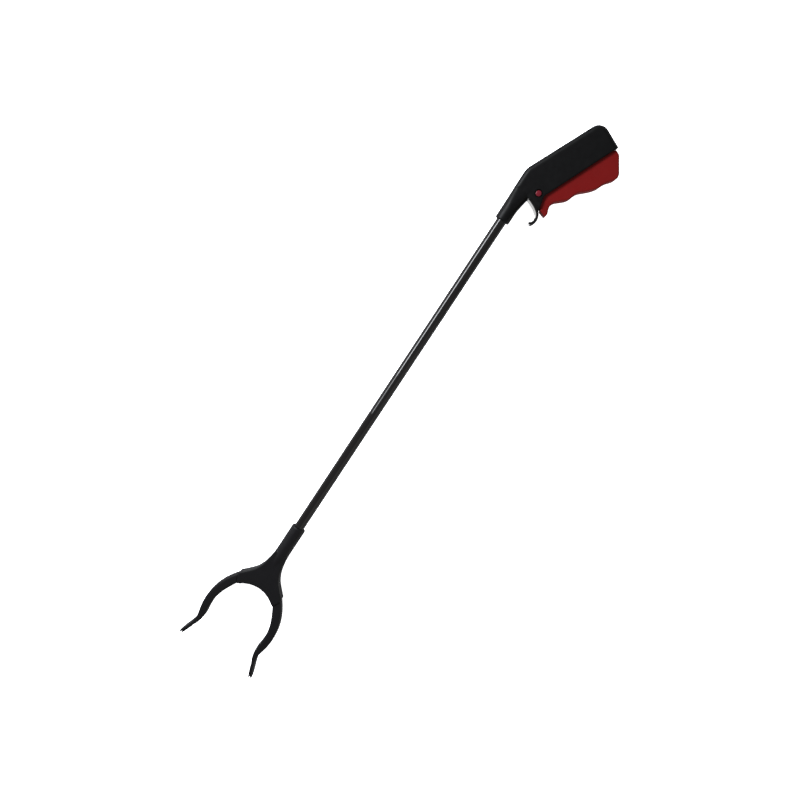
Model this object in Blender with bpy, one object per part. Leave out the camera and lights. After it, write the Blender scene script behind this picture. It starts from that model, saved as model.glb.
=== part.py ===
"""Reacher grabber, lying on its right-hand side.

Run with: blender --background --python part.py

The script works in millimetres in the tube frame and writes the meshes in
metres. In the tube frame +X runs along the tube from the jaws to the handle,
+Y is up when the tool is held with its trigger below, and +Z points out of its
left-hand side. The tool lies with its right-hand side on the ground, so the
root empty lifts the tube axis by half the width of the handle.
"""

import math

import bmesh
import bpy
from mathutils import Matrix, Vector

MM = 0.001
GAP = 0.3

# Whole tool
AXIS_HEIGHT = 14.0
AXIS_SHIFT_Y = 14.8

# Tube and push rod
TUBE_RADIUS = 6.35
TUBE_WALL = 1.0
TUBE_FRONT = -250.0
TUBE_REAR = 272.0
ROD_RADIUS = 2.0
ROD_FRONT = -273.0
ROD_REAR = 296.0
GUIDE_LENGTH = 12.0
GUIDE_FLANGE = 1.5
GUIDE_STATIONS = {
    "rod_guide_front": TUBE_FRONT + 6.5,
    "rod_guide_middle": 12.0,
    "rod_guide_rear": TUBE_REAR - 6.5,
}

# Handle housing: a flat-sided grip behind a round socket
HALF_WIDTH = 14.0
SHELL_WALL = 2.4
EDGE_RADIUS = 6.0
ROOM_EDGE_RADIUS = 2.4
SOCKET_RADIUS = 9.1
SOCKET_FRONT = 254.2
NECK_START = 268.0
NECK_END = 302.0
GRIP_TOP = 9.4
GRIP_CORNERS = [
    (291.6, -9.0, 0.0),
    (292.5, GRIP_TOP, 0.0),
    (319.1, GRIP_TOP, 45.0),
    (410.8, -33.8, 13.0),
    (388.6, -81.2, 0.0),
    (287.0, -44.0, 0.0),
    (286.4, -27.5, 0.0),
]
LIP_CORNERS = [
    (278.0, -32.2, 0.0),
    (303.3, -26.0, 6.0),
    (389.2, -63.9, 0.0),
    (425.0, -79.7, 0.0),
    (425.0, -110.0, 0.0),
    (278.0, -110.0, 0.0),
]
HOOK_HALF_WIDTH = 12.0
HOOK_THICKNESS = 3.4
HOOK_PATH = [
    (296.5, -7.4),
    (292.6, -12.8),
    (290.2, -18.5),
    (286.9, -25.2),
    (282.2, -30.8),
    (275.8, -33.2),
    (270.6, -31.6),
    (267.6, -28.4),
]

# Housing screws, driven from the right-hand side
HOUSING_SCREWS = {
    "housing_screw_front": (294.2, -12.4),
    "housing_screw_knee": (322.5, 1.6),
    "housing_screw_middle": (356.5, -12.6),
    "housing_screw_rear": (391.5, -29.3),
}
BOSS_RADIUS = 3.3
SCREW_RADIUS = 1.35
SCREW_HEAD_RADIUS = 2.7
SCREW_HEAD_HEIGHT = 1.8
SCREW_SUNK = 1.0
SCREW_REACH = 7.4
COUNTERBORE_DEPTH = 3.4
SLOT_HALF_WIDTH = 0.25
SLOT_DEPTH = 1.0
SOCKET_SCREW_X = 263.0
COLLAR_SCREW_X = -212.0

# Trigger: a hollow moulding that turns about PIVOT and carries an upright arm
PIVOT = (302.3, -18.8)
PIVOT_PIN_RADIUS = 2.5
PIVOT_HEAD_RADIUS = 3.9
TRIGGER_TRAVEL = math.radians(16.0)
TRIGGER_HALF_WIDTH = 10.5
TRIGGER_WALL = 2.2
TRIGGER_EDGE = 0.9
HUB_RADIUS = 6.2
HUB_SEAT = (10.9, 13.0)
ARM_HALF_THICKNESS = 3.0
ARM_HALF_BREADTH = 3.4
DRIVE_PIN_RADIUS = 1.5
DRIVE_PIN_HALF_LENGTH = 5.1
TRIGGER_WAVES = [
    (288.6, -40.9),
    (294.4, -38.6),
    (299.3, -38.2),
    (304.3, -40.2),
    (308.6, -44.7),
    (313.5, -50.2),
    (318.5, -53.3),
    (323.5, -54.8),
    (328.6, -57.6),
    (334.0, -63.4),
    (340.0, -69.4),
    (345.5, -73.4),
    (351.0, -75.6),
    (356.2, -78.5),
    (361.8, -83.2),
    (366.8, -85.4),
    (371.4, -84.4),
]
TRIGGER_REAR = [(389.0, -71.9), (391.5, -66.5), (388.8, -62.2)]
TRIGGER_TOP = [(309.0, -24.6), (304.6, -19.6), (299.4, -19.6), (294.8, -24.4)]
TRIGGER_SPUR = [(290.2, -27.4), (289.2, -31.2), (287.3, -31.2), (284.5, -40.4)]
TRIGGER_HOLLOW = [
    (312.5, -20.0, 0.0),
    (388.4, -50.0, 0.0),
    (385.0, -71.4, 3.0),
    (369.5, -81.2, 3.0),
    (358.0, -76.0, 8.0),
    (346.0, -70.6, 8.0),
    (336.0, -61.5, 6.0),
    (329.0, -54.4, 6.0),
    (316.0, -49.6, 3.0),
]

# Clevis and return spring
CLEVIS_HALF_WIDTH = 5.2
CLEVIS_HALF_HEIGHT = 3.8
CLEVIS_FRONT = 290.4
CLEVIS_FORK = 298.0
SPRING_RADIUS = 4.6
SPRING_WIRE = 0.45
SPRING_TURNS = 6

# Head: two covers around the jaw pivots
COLLAR_RADIUS = 9.1
COLLAR_REAR = -200.2
COLLAR_FRONT = -246.0
HEAD_HALF_WIDTH = 7.8
HEAD_WALL = 2.2
HEAD_EDGE = 1.5
HEAD_FLARE = [
    (-240.0, 9.1),
    (-248.5, 9.6),
    (-257.8, 11.1),
    (-265.8, 13.2),
    (-273.9, 17.0),
    (-279.3, 21.0),
    (-284.6, 25.8),
    (-288.4, 29.4),
]
JAW_PIVOT = (-290.0, 6.4)
SEAM_RADIUS = 26.0
FRONT_ARC_CENTRE = -331.8
FRONT_ARC_RADIUS = 36.0
HEAD_SCREWS = {"head_screw_upper": (-270.5, 9.0), "head_screw_lower": (-270.5, -9.0)}
HEAD_SCREW_RADIUS = 1.1
HEAD_SCREW_HEAD_RADIUS = 1.9
HEAD_SCREW_HEAD_HEIGHT = 1.3
HEAD_SCREW_SUNK = 1.2
HEAD_SCREW_REACH = 4.2
HEAD_BOSS_RADIUS = 2.6

# Jaws: spine points with thickness across the jaw and half its width
JAW_TRAVEL = math.radians(24.2)
JAW_SPINE = [
    (-295.0, 26.6, 11.4, 6.5),
    (-303.7, 32.6, 12.0, 6.5),
    (-314.0, 38.2, 12.6, 6.6),
    (-323.8, 42.3, 12.2, 6.8),
    (-333.8, 44.9, 11.6, 7.1),
    (-343.9, 46.0, 11.0, 7.5),
    (-354.2, 45.6, 10.6, 8.0),
    (-364.3, 44.2, 9.6, 8.5),
    (-370.8, 43.8, 7.9, 8.9),
    (-378.0, 44.9, 6.2, 9.3),
    (-388.2, 48.7, 4.7, 9.7),
    (-399.2, 53.3, 3.9, 10.0),
    (-405.4, 55.0, 2.9, 9.6),
]
ROOT_HALF_THICKNESS = 3.2
ROOT_HUB_RADIUS = 5.0
ROOT_OUTLINE = [
    (-4.6, -1.5, 0.0),
    (-6.0, 4.0, 10.0),
    (-12.6, 15.6, 0.0),
    (-17.5, 22.5, 0.0),
    (-6.6, 26.8, 0.0),
    (-3.4, 21.2, 0.0),
    (0.4, 17.6, 3.0),
    (5.8, 14.2, 2.5),
    (5.0, -0.5, 0.0),
]
JAW_PIVOT_RADIUS = 1.75
JAW_DRIVE_RADIUS = 1.25
JAW_DRIVE_HALF_LENGTH = 5.1
JAW_EDGE = 2.0
PAD_HEEL = -388.0
PAD_TIP = -404.5
PAD_THICKNESS = 1.6
PAD_HALF_WIDTH = 8.6

# Crosshead
FORK_INNER = 3.6
FORK_OUTER = 5.2
FORK_HALF_BREADTH = 2.9
FORK_ELBOW = (-278.0, 9.0)
FORK_ROOT = (-273.5, 1.0)
CROSSHEAD_BLOCK = (-278.0, -270.0, 4.6)
CROSSHEAD_BOSS = (-271.0, -262.0, 4.4)

# Worked out from the driving dimensions
ARM_LENGTH = -PIVOT[1]
ROD_TRAVEL = 2.0 * ARM_LENGTH * math.sin(TRIGGER_TRAVEL / 2.0)
DRIVE_PIN = (
    PIVOT[0] + ARM_LENGTH * math.sin(TRIGGER_TRAVEL / 2.0),
    PIVOT[1] + ARM_LENGTH * math.cos(TRIGGER_TRAVEL / 2.0),
)
JAW_ARM = ROD_TRAVEL / (2.0 * math.sin(JAW_TRAVEL / 2.0))
JAW_DRIVE = (
    JAW_PIVOT[0] + JAW_ARM * math.sin(JAW_TRAVEL / 2.0),
    JAW_PIVOT[1] + JAW_ARM * math.cos(JAW_TRAVEL / 2.0),
)

ROUND = 24
FINE_ROUND = 36


# ---------------------------------------------------------------- scene


def clear_scene():
    """Remove every object, so the script can run in any open file."""
    for old in list(bpy.data.objects):
        bpy.data.objects.remove(old, do_unlink=True)


def make_material(name, colour, roughness, metallic=0.0):
    """Return a Principled material."""
    material = bpy.data.materials.new(name)
    material.use_nodes = True
    shader = material.node_tree.nodes["Principled BSDF"]
    shader.inputs["Base Color"].default_value = (*colour, 1.0)
    shader.inputs["Roughness"].default_value = roughness
    shader.inputs["Metallic"].default_value = metallic
    return material


def make_empty(name, point, parent=None):
    """Return an empty at a tube-frame point, for a joint axis."""
    empty = bpy.data.objects.new(name, None)
    bpy.context.scene.collection.objects.link(empty)
    empty.empty_display_size = 0.02
    empty.location = Vector(point) * MM
    if parent is not None:
        empty.parent = parent
        empty["pivot_mm"] = list(point)
    return empty


def new_object(name, bm):
    """Turn a bmesh in millimetres into an object in metres."""
    bmesh.ops.remove_doubles(bm, verts=bm.verts, dist=0.0001)
    bmesh.ops.recalc_face_normals(bm, faces=bm.faces)
    bm.transform(Matrix.Scale(MM, 4))
    mesh = bpy.data.meshes.new(name)
    bm.to_mesh(mesh)
    bm.free()
    made = bpy.data.objects.new(name, mesh)
    bpy.context.scene.collection.objects.link(made)
    return made


def combine(target, tool, operation):
    """Apply a Boolean of tool on target and remove the tool."""
    modifier = target.modifiers.new("shape", "BOOLEAN")
    modifier.operation = operation
    modifier.object = tool
    graph = bpy.context.evaluated_depsgraph_get()
    result = bpy.data.meshes.new_from_object(target.evaluated_get(graph))
    target.modifiers.clear()
    target.data = result
    bpy.data.objects.remove(tool, do_unlink=True)


def cut(target, *tools):
    """Subtract each tool from target."""
    for tool in tools:
        combine(target, tool, "DIFFERENCE")


def join(target, *tools):
    """Unite each tool with target."""
    for tool in tools:
        combine(target, tool, "UNION")


def finish(made, material, body):
    """Give a piece its material, smooth shading and its body's origin."""
    pivot = Vector(body.get("pivot_mm", (0.0, 0.0, 0.0))) * MM
    if made.type == "MESH":
        made.data.transform(Matrix.Translation(-pivot))
        made.data.shade_smooth()
        made.data.set_sharp_from_angle(angle=math.radians(35.0))
    made.data.materials.clear()
    made.data.materials.append(material)
    made.parent = body
    return made


# ---------------------------------------------------------------- outlines


def arc(centre, radius, start, end, steps):
    """Points on an arc, from angle start to angle end in radians."""
    points = []
    for i in range(steps + 1):
        angle = start + (end - start) * i / steps
        x = centre[0] + radius * math.cos(angle)
        y = centre[1] + radius * math.sin(angle)
        points.append((x, y))
    return points


def fillet(corners, step=math.radians(11.0)):
    """Outline of (x, y, radius) corners with each corner rounded by an arc."""
    outline = []
    count = len(corners)
    for i, (x, y, radius) in enumerate(corners):
        here = Vector((x, y))
        if radius == 0.0:
            outline.append((x, y))
            continue
        back = (Vector(corners[i - 1][:2]) - here).normalized()
        ahead = (Vector(corners[(i + 1) % count][:2]) - here).normalized()
        half = back.angle(ahead) / 2.0
        reach = radius / math.tan(half)
        centre = here + (back + ahead).normalized() * (radius / math.sin(half))
        first = here + back * reach - centre
        last = here + ahead * reach - centre
        sweep = first.angle_signed(last)
        steps = max(2, round(abs(sweep) / step))
        for k in range(steps + 1):
            turned = Matrix.Rotation(-sweep * k / steps, 2) @ first
            outline.append(tuple(centre + turned))
    return outline


def inset(corners, distance):
    """Corners of the outline moved inwards by distance, radii kept parallel."""
    area = sum(
        corners[i - 1][0] * corners[i][1] - corners[i][0] * corners[i - 1][1]
        for i in range(len(corners))
    )
    side = 1.0 if area > 0.0 else -1.0
    moved = []
    for i, (x, y, radius) in enumerate(corners):
        here = Vector((x, y))
        into = (here - Vector(corners[i - 1][:2])).normalized()
        out = (Vector(corners[(i + 1) % len(corners)][:2]) - here).normalized()
        normal_in = Vector((-into.y, into.x)) * side
        normal_out = Vector((-out.y, out.x)) * side
        bisector = (normal_in + normal_out) / (1.0 + normal_in.dot(normal_out))
        point = here + bisector * distance
        moved.append((point.x, point.y, max(0.0, radius - distance)))
    return moved


def spline(points, per_span=3):
    """Catmull-Rom curve through points of any dimension."""
    ends = [tuple(2.0 * a - b for a, b in zip(points[0], points[1]))]
    tail = [tuple(2.0 * a - b for a, b in zip(points[-1], points[-2]))]
    chain = ends + list(points) + tail
    curve = []
    for i in range(1, len(chain) - 2):
        for k in range(per_span):
            t = k / per_span
            weights = (
                -0.5 * t + t * t - 0.5 * t**3,
                1.0 - 2.5 * t * t + 1.5 * t**3,
                0.5 * t + 2.0 * t * t - 1.5 * t**3,
                -0.5 * t * t + 0.5 * t**3,
            )
            near = zip(*chain[i - 1 : i + 3])
            curve.append(tuple(sum(w * v for w, v in zip(weights, axis)) for axis in near))
    curve.append(tuple(points[-1]))
    return curve


def mirrored(points):
    """The same (x, y, ...) points on the other side of the tube axis."""
    return [(p[0], -p[1], *p[2:]) for p in points]


# ---------------------------------------------------------------- solids


def plate(name, outline, low, high, edge=0.0, segments=2):
    """Extrude an outline from z low to z high, rounding both rims by edge."""
    bm = bmesh.new()
    bottom = [bm.verts.new((x, y, low)) for x, y in outline]
    face = bm.faces.new(bottom)
    made = bmesh.ops.extrude_face_region(bm, geom=[face])
    raised = [g for g in made["geom"] if isinstance(g, bmesh.types.BMVert)]
    bmesh.ops.translate(bm, verts=raised, vec=(0.0, 0.0, high - low))
    if edge > 0.0:
        rims = [e for e in bm.edges if abs(e.verts[0].co.z - e.verts[1].co.z) < 1e-6]
        bmesh.ops.bevel(bm, geom=rims, offset=edge, segments=segments, profile=0.5, affect="EDGES")
    return new_object(name, bm)


def turned(name, profile, sides=ROUND, axis="X", at=(0.0, 0.0)):
    """Solid of revolution: profile of (position, radius) along X or Z.

    The first and last profile points lie on the axis.
    """
    bm = bmesh.new()
    rings = []
    for position, radius in profile:
        ring = []
        for i in range(sides):
            angle = 2.0 * math.pi * i / sides
            u, v = radius * math.cos(angle), radius * math.sin(angle)
            if axis == "X":
                ring.append(bm.verts.new((position, at[0] + u, at[1] + v)))
            else:
                ring.append(bm.verts.new((at[0] + u, at[1] + v, position)))
        rings.append(ring)
    for a, b in zip(rings, rings[1:]):
        for i in range(sides):
            bm.faces.new((a[i - 1], a[i], b[i], b[i - 1]))
    for ring in (rings[0], rings[-1]):
        bm.faces.new(ring)
    return new_object(name, bm)


def rod(name, start, end, radius, axis="X", at=(0.0, 0.0), sides=ROUND):
    """Plain cylinder along X or Z."""
    return turned(name, [(start, radius), (end, radius)], sides, axis, at)


def pipe(name, start, end, outer, inner, sides=ROUND, flange=None):
    """Tube along X; flange is (thickness, radius) past its rear end."""
    profile = [(start, inner), (start, outer), (end, outer)]
    if flange:
        profile += [(end, flange[1]), (end + flange[0], flange[1])]
        end += flange[0]
    profile += [(end, inner)]
    bm = bmesh.new()
    rings = []
    for position, radius in profile:
        ring = []
        for i in range(sides):
            angle = 2.0 * math.pi * i / sides
            y, z = radius * math.cos(angle), radius * math.sin(angle)
            ring.append(bm.verts.new((position, y, z)))
        rings.append(ring)
    for a, b in zip(rings, rings[1:] + rings[:1]):
        for i in range(sides):
            bm.faces.new((a[i - 1], a[i], b[i], b[i - 1]))
    return new_object(name, bm)


def block(name, low, high):
    """Box between two corners."""
    bm = bmesh.new()
    bmesh.ops.create_cube(bm, size=1.0)
    size = [h - l for l, h in zip(low, high)]
    middle = [(h + l) / 2.0 for l, h in zip(low, high)]
    bm.transform(Matrix.Translation(middle) @ Matrix.Diagonal((*size, 1.0)))
    return new_object(name, bm)


def ribbon(name, spine, edge, offset=0.0, skin=None, half_width=None):
    """Sweep a rounded bar along spine points (x, y, thickness, half width).

    offset moves the bar across its path, skin replaces its thickness and
    half_width its half width, which makes a pad that follows the same path.
    """
    bm = bmesh.new()
    rings = []
    for i, (x, y, thickness, half) in enumerate(spine):
        before = Vector(spine[max(0, i - 1)][:2])
        after = Vector(spine[min(len(spine) - 1, i + 1)][:2])
        along = (after - before).normalized()
        across = Vector((-along.y, along.x))
        if across.y < 0.0:
            across.negate()
        lift = 0.0 if skin is None else -(thickness / 2.0 + offset + skin / 2.0)
        deep = (thickness if skin is None else skin) / 2.0
        wide = half if half_width is None else half_width
        rim = min(edge, deep * 0.8)
        ring = []
        for sa, sz in ((1, 1), (1, -1), (-1, -1), (-1, 1)):
            first = (deep - rim, wide) if sa * sz > 0 else (deep, wide - rim)
            second = (deep, wide - rim) if sa * sz > 0 else (deep - rim, wide)
            for a, z in (first, second):
                point = Vector((x, y)) + across * (lift + sa * a)
                ring.append(bm.verts.new((point.x, point.y, sz * z)))
        rings.append(ring)
    for a, b in zip(rings, rings[1:]):
        for i in range(len(a)):
            bm.faces.new((a[i - 1], a[i], b[i], b[i - 1]))
    bm.faces.new(rings[0])
    bm.faces.new(rings[-1])
    return new_object(name, bm)


def bar(name, start, end, half_breadth, low, high):
    """Flat bar with round ends between two (x, y) points."""
    a, b = Vector(start), Vector(end)
    heading = math.atan2(b.y - a.y, b.x - a.x)
    outline = arc(a, half_breadth, heading + math.pi / 2, heading + 1.5 * math.pi, 8)
    outline += arc(b, half_breadth, heading - math.pi / 2, heading + math.pi / 2, 8)
    return plate(name, outline, low, high)


def neck(name):
    """Outside of the socket, opening from a round to a flat-sided section."""
    bm = bmesh.new()
    rings = []
    stations = [SOCKET_FRONT, SOCKET_FRONT + 0.8, 261.0, NECK_START]
    stations += [NECK_START + (NECK_END - NECK_START) * k / 8 for k in range(1, 9)]
    for x in stations:
        grow = min(1.0, max(0.0, (x - NECK_START) / (NECK_END - NECK_START)))
        grow = grow * grow * (3.0 - 2.0 * grow)
        trim = 0.6 if x == SOCKET_FRONT else 0.0
        top = SOCKET_RADIUS + (GRIP_TOP - SOCKET_RADIUS) * grow - trim
        under = SOCKET_RADIUS + 4.0 * grow - trim
        side = SOCKET_RADIUS + (HALF_WIDTH - 0.1 - SOCKET_RADIUS) * grow - trim
        power = 2.0 / (2.0 + 2.2 * grow)
        ring = []
        for i in range(FINE_ROUND):
            angle = 2.0 * math.pi * i / FINE_ROUND
            c, s = math.cos(angle), math.sin(angle)
            height = top if c > 0 else under
            y = height * math.copysign(abs(c) ** power, c)
            z = side * math.copysign(abs(s) ** power, s)
            ring.append(bm.verts.new((x, y, z)))
        rings.append(ring)
    for a, b in zip(rings, rings[1:]):
        for i in range(FINE_ROUND):
            bm.faces.new((a[i - 1], a[i], b[i], b[i - 1]))
    bm.faces.new(rings[0])
    bm.faces.new(rings[-1])
    return new_object(name, bm)


def half_only(made, side):
    """Keep the part of a solid on one side of the parting plane."""
    far = 60.0
    low, high = (-far, GAP / 2.0) if side > 0 else (-GAP / 2.0, far)
    cut(made, block("parting", (-450.0, -200.0, low), (450.0, 200.0, high)))


# ---------------------------------------------------------------- handle


def housing_half(name, side, material, body):
    """One half of the handle housing: side is +1 for left, -1 for right."""
    half = plate(name, fillet(GRIP_CORNERS), -HALF_WIDTH, HALF_WIDTH, EDGE_RADIUS)
    cut(half, plate("lip", fillet(LIP_CORNERS), -30.0, 30.0))
    join(half, neck("neck"))
    hook_spine = [(x, y, HOOK_THICKNESS, HOOK_HALF_WIDTH) for x, y in spline(HOOK_PATH)]
    join(half, ribbon("hook", hook_spine, 1.2))
    inner = inset(GRIP_CORNERS, SHELL_WALL)
    room = HALF_WIDTH - SHELL_WALL
    cut(half, plate("room", fillet(inner), -room, room, ROOM_EDGE_RADIUS))
    cut(half, rod("bore", SOCKET_FRONT - 5.0, 297.0, TUBE_RADIUS + GAP, sides=FINE_ROUND))
    half_only(half, side)
    near, out = sorted((side * GAP / 2.0, side * (HALF_WIDTH - 1.0)))
    for spot in HOUSING_SCREWS.values():
        join(half, rod("boss", near, out, BOSS_RADIUS, "Z", spot, 14))
    hub = sorted(side * z for z in HUB_SEAT)
    join(half, rod("hub", *hub, HUB_RADIUS, "Z", PIVOT))
    for spot in HOUSING_SCREWS.values():
        drill_screw(half, side, spot, HALF_WIDTH, SCREW_RADIUS, SCREW_HEAD_RADIUS)
    pin_hole = rod("pin_hole", -20.0, 20.0, PIVOT_PIN_RADIUS + GAP, "Z", PIVOT)
    cut(half, pin_hole)
    seat = sorted((side * (HALF_WIDTH - 1.7), side * 20.0))
    cut(half, rod("pin_seat", *seat, PIVOT_HEAD_RADIUS + GAP, "Z", PIVOT))
    if side < 0:
        cut(half, side_screw_hole(SOCKET_SCREW_X))
    return finish(half, material, body)


def side_screw_hole(x):
    """Drill for a short screw through the right side of the socket or collar."""
    return rod("screw_hole", -12.0, -3.0, SCREW_RADIUS + GAP, "Z", (x, 0.0), 16)


def drill_screw(half, side, spot, face, shank, head):
    """Pilot hole on the left half, through hole and counterbore on the right."""
    if side > 0:
        cut(half, rod("pilot", -1.0, face * 0.6, shank + GAP, "Z", spot, 12))
    else:
        cut(half, rod("through", -face - 1.0, 1.0, shank + GAP, "Z", spot, 12))
        bottom = COUNTERBORE_DEPTH - face
        cut(half, rod("sink", -face - 1.0, bottom, head + GAP, "Z", spot, 18))


def screw_mesh(name, face, reach, shank, head, height, sink):
    """Pan-head screw along Z with a cross recess, head towards -Z."""
    base = -face + sink
    dome = [(0.0, 0.55), (0.35, 0.9), (0.7, 1.0), (1.0, 1.0)]
    profile = [(base + t * height, r * head) for t, r in dome]
    profile += [(base + height, shank), (reach - shank, shank), (reach, 0.25 * shank)]
    made = turned(name, profile, 14, "Z")
    arm, slot = 0.62 * head, 0.14 * head
    depth = base + 0.6 * height
    cut(made, block("recess", (-arm, -slot, base - 1.0), (arm, slot, depth)))
    cut(made, block("recess", (-slot, -arm, base - 1.0), (slot, arm, depth)))
    return made


def screws(places, template, material, body):
    """One screw object for each place, all sharing one mesh."""
    finish(template, material, body)
    for name, spot in places.items():
        copy = bpy.data.objects.new(name, template.data)
        bpy.context.scene.collection.objects.link(copy)
        copy.parent = body
        copy.location = (spot[0] * MM, spot[1] * MM, 0.0)
    bpy.data.objects.remove(template, do_unlink=True)


def side_screw(name, x, radius, material, body):
    """Short screw that holds the tube in its socket from the right."""
    outside = -radius
    profile = [(outside + 0.4, SCREW_RADIUS), (TUBE_WALL - TUBE_RADIUS, SCREW_RADIUS)]
    made = turned(name, profile, 16, "Z", (x, 0.0))
    low = (x - 3.0, -SLOT_HALF_WIDTH, outside)
    high = (x + 3.0, SLOT_HALF_WIDTH, outside + SLOT_DEPTH)
    cut(made, block("slot", low, high))
    return finish(made, material, body)


def make_tube():
    """Tube with a hole at each end for its screw."""
    inner = TUBE_RADIUS - TUBE_WALL
    made = pipe("tube", TUBE_FRONT, TUBE_REAR, TUBE_RADIUS, inner, FINE_ROUND)
    for x in (SOCKET_SCREW_X, COLLAR_SCREW_X):
        cut(made, side_screw_hole(x))
    return made


def make_guide(name, middle):
    """Nylon guide of the push rod; the rear one has a flange past the tube."""
    start, end = middle - GUIDE_LENGTH / 2.0, middle + GUIDE_LENGTH / 2.0
    flange = None
    if name == "rod_guide_rear":
        end = TUBE_REAR + GAP
        flange = (GUIDE_FLANGE, TUBE_RADIUS)
    outer = TUBE_RADIUS - TUBE_WALL - GAP
    return pipe(name, start, end, outer, ROD_RADIUS + GAP, ROUND, flange)


def trigger_outline():
    """Closed outline of the trigger, waves first, then round the hub."""
    outline = spline(TRIGGER_WAVES, 2)
    outline += TRIGGER_REAR
    outline += TRIGGER_TOP
    outline += TRIGGER_SPUR
    return outline


def make_trigger(material, body):
    """Hollow trigger with its pivot hub and the arm that drives the rod."""
    wide = TRIGGER_HALF_WIDTH
    made = plate("trigger", trigger_outline(), -wide, wide, TRIGGER_EDGE)
    room = wide - TRIGGER_WALL
    cut(made, plate("hollow", fillet(TRIGGER_HOLLOW), -room, room))
    join(made, rod("hub", -wide, wide, HUB_RADIUS, "Z", PIVOT))
    thick = ARM_HALF_THICKNESS
    join(made, bar("arm", PIVOT, DRIVE_PIN, ARM_HALF_BREADTH, -thick, thick))
    cut(made, rod("pin_hole", -20.0, 20.0, PIVOT_PIN_RADIUS + GAP, "Z", PIVOT))
    cut(made, rod("drive_hole", -20.0, 20.0, DRIVE_PIN_RADIUS + GAP, "Z", DRIVE_PIN, 20))
    return finish(made, material, body)


def make_clevis(material, body):
    """Fork on the end of the push rod, either side of the trigger arm."""
    wide, high = CLEVIS_HALF_WIDTH, CLEVIS_HALF_HEIGHT
    made = block("rod_clevis", (CLEVIS_FRONT, -high, -wide), (DRIVE_PIN[0], high, wide))
    join(made, rod("eye", -wide, wide, high, "Z", (DRIVE_PIN[0], 0.0)))
    gap = ARM_HALF_THICKNESS + 0.4
    cut(made, block("fork", (CLEVIS_FORK, -10.0, -gap), (330.0, 10.0, gap)))
    cut(made, rod("rod_hole", CLEVIS_FRONT - 5.0, ROD_REAR + GAP, ROD_RADIUS + GAP, sides=20))
    middle = (DRIVE_PIN[0], DRIVE_PIN[1] / 2.0)
    cut(made, rod("eye_hole", -20.0, 20.0, DRIVE_PIN_RADIUS + GAP, "Z", middle, 20))
    return finish(made, material, body)


def make_spring(material, body):
    """Return spring between the rear guide and the clevis."""
    start = TUBE_REAR + GUIDE_FLANGE + GAP + SPRING_WIRE + 0.6
    end = CLEVIS_FRONT - GAP - SPRING_WIRE
    steps = SPRING_TURNS * 10
    curve = bpy.data.curves.new("return_spring", "CURVE")
    curve.dimensions = "3D"
    curve.bevel_depth = SPRING_WIRE * MM
    curve.bevel_resolution = 1
    curve.use_fill_caps = True
    line = curve.splines.new("POLY")
    line.points.add(steps)
    for i, point in enumerate(line.points):
        angle = 2.0 * math.pi * SPRING_TURNS * i / steps
        x = start + (end - start) * i / steps
        y, z = SPRING_RADIUS * math.cos(angle), SPRING_RADIUS * math.sin(angle)
        point.co = (x * MM, y * MM, z * MM, 1.0)
    made = bpy.data.objects.new("return_spring", curve)
    bpy.context.scene.collection.objects.link(made)
    return finish(made, material, body)


def make_pivot_pin(material, body):
    """Trigger pivot pin with a low domed head at each side."""
    face = HALF_WIDTH - 0.3
    head, shank = PIVOT_HEAD_RADIUS, PIVOT_PIN_RADIUS
    side = [(face, 0.45 * head), (face - 0.25, 0.8 * head), (face - 0.7, head), (face - 1.1, head)]
    side += [(face - 1.1, shank)]
    profile = [(-z, r) for z, r in side] + [(z, r) for z, r in reversed(side)]
    return finish(turned("trigger_pivot_pin", profile, ROUND, "Z", PIVOT), material, body)


# ---------------------------------------------------------------- head


def head_outline():
    """Outline of the flared plate, closed by the arc between the jaws."""
    upper = spline(HEAD_FLARE, 2)
    front = (FRONT_ARC_CENTRE, 0.0)
    tip = seam_tip()
    seam_end = math.atan2(tip[1] - JAW_PIVOT[1], tip[0] - JAW_PIVOT[0])
    upper += arc(JAW_PIVOT, SEAM_RADIUS, math.radians(93.0), seam_end, 5)
    turn = math.atan2(tip[1], tip[0] - FRONT_ARC_CENTRE)
    upper += arc(front, FRONT_ARC_RADIUS, turn, 0.0, 7)[1:]
    lower = mirrored(upper[:-1])
    return upper + lower[::-1]


def seam_tip():
    """Point where the seam around a jaw pivot meets the arc between the jaws."""
    a, b = Vector(JAW_PIVOT), Vector((FRONT_ARC_CENTRE, 0.0))
    apart = (b - a).length
    along = (apart**2 + SEAM_RADIUS**2 - FRONT_ARC_RADIUS**2) / (2.0 * apart)
    across = math.sqrt(SEAM_RADIUS**2 - along**2)
    heading = (b - a) / apart
    return tuple(a + heading * along + Vector((heading.y, -heading.x)) * across)


def head_room():
    """Outline of the space inside the head, open at the front."""
    flare = [p for p in spline(HEAD_FLARE, 2) if p[0] < -256.0]
    flare.append((-300.0, flare[-1][1] + 11.0))
    upper = []
    for i, point in enumerate(flare):
        before = Vector(flare[max(0, i - 1)])
        after = Vector(flare[min(len(flare) - 1, i + 1)])
        along = (after - before).normalized()
        moved = Vector(point) + Vector((-along.y, along.x)) * HEAD_WALL
        upper.append(tuple(moved))
    upper.append((-345.0, upper[-1][1]))
    return upper + mirrored(upper)[::-1]


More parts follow.
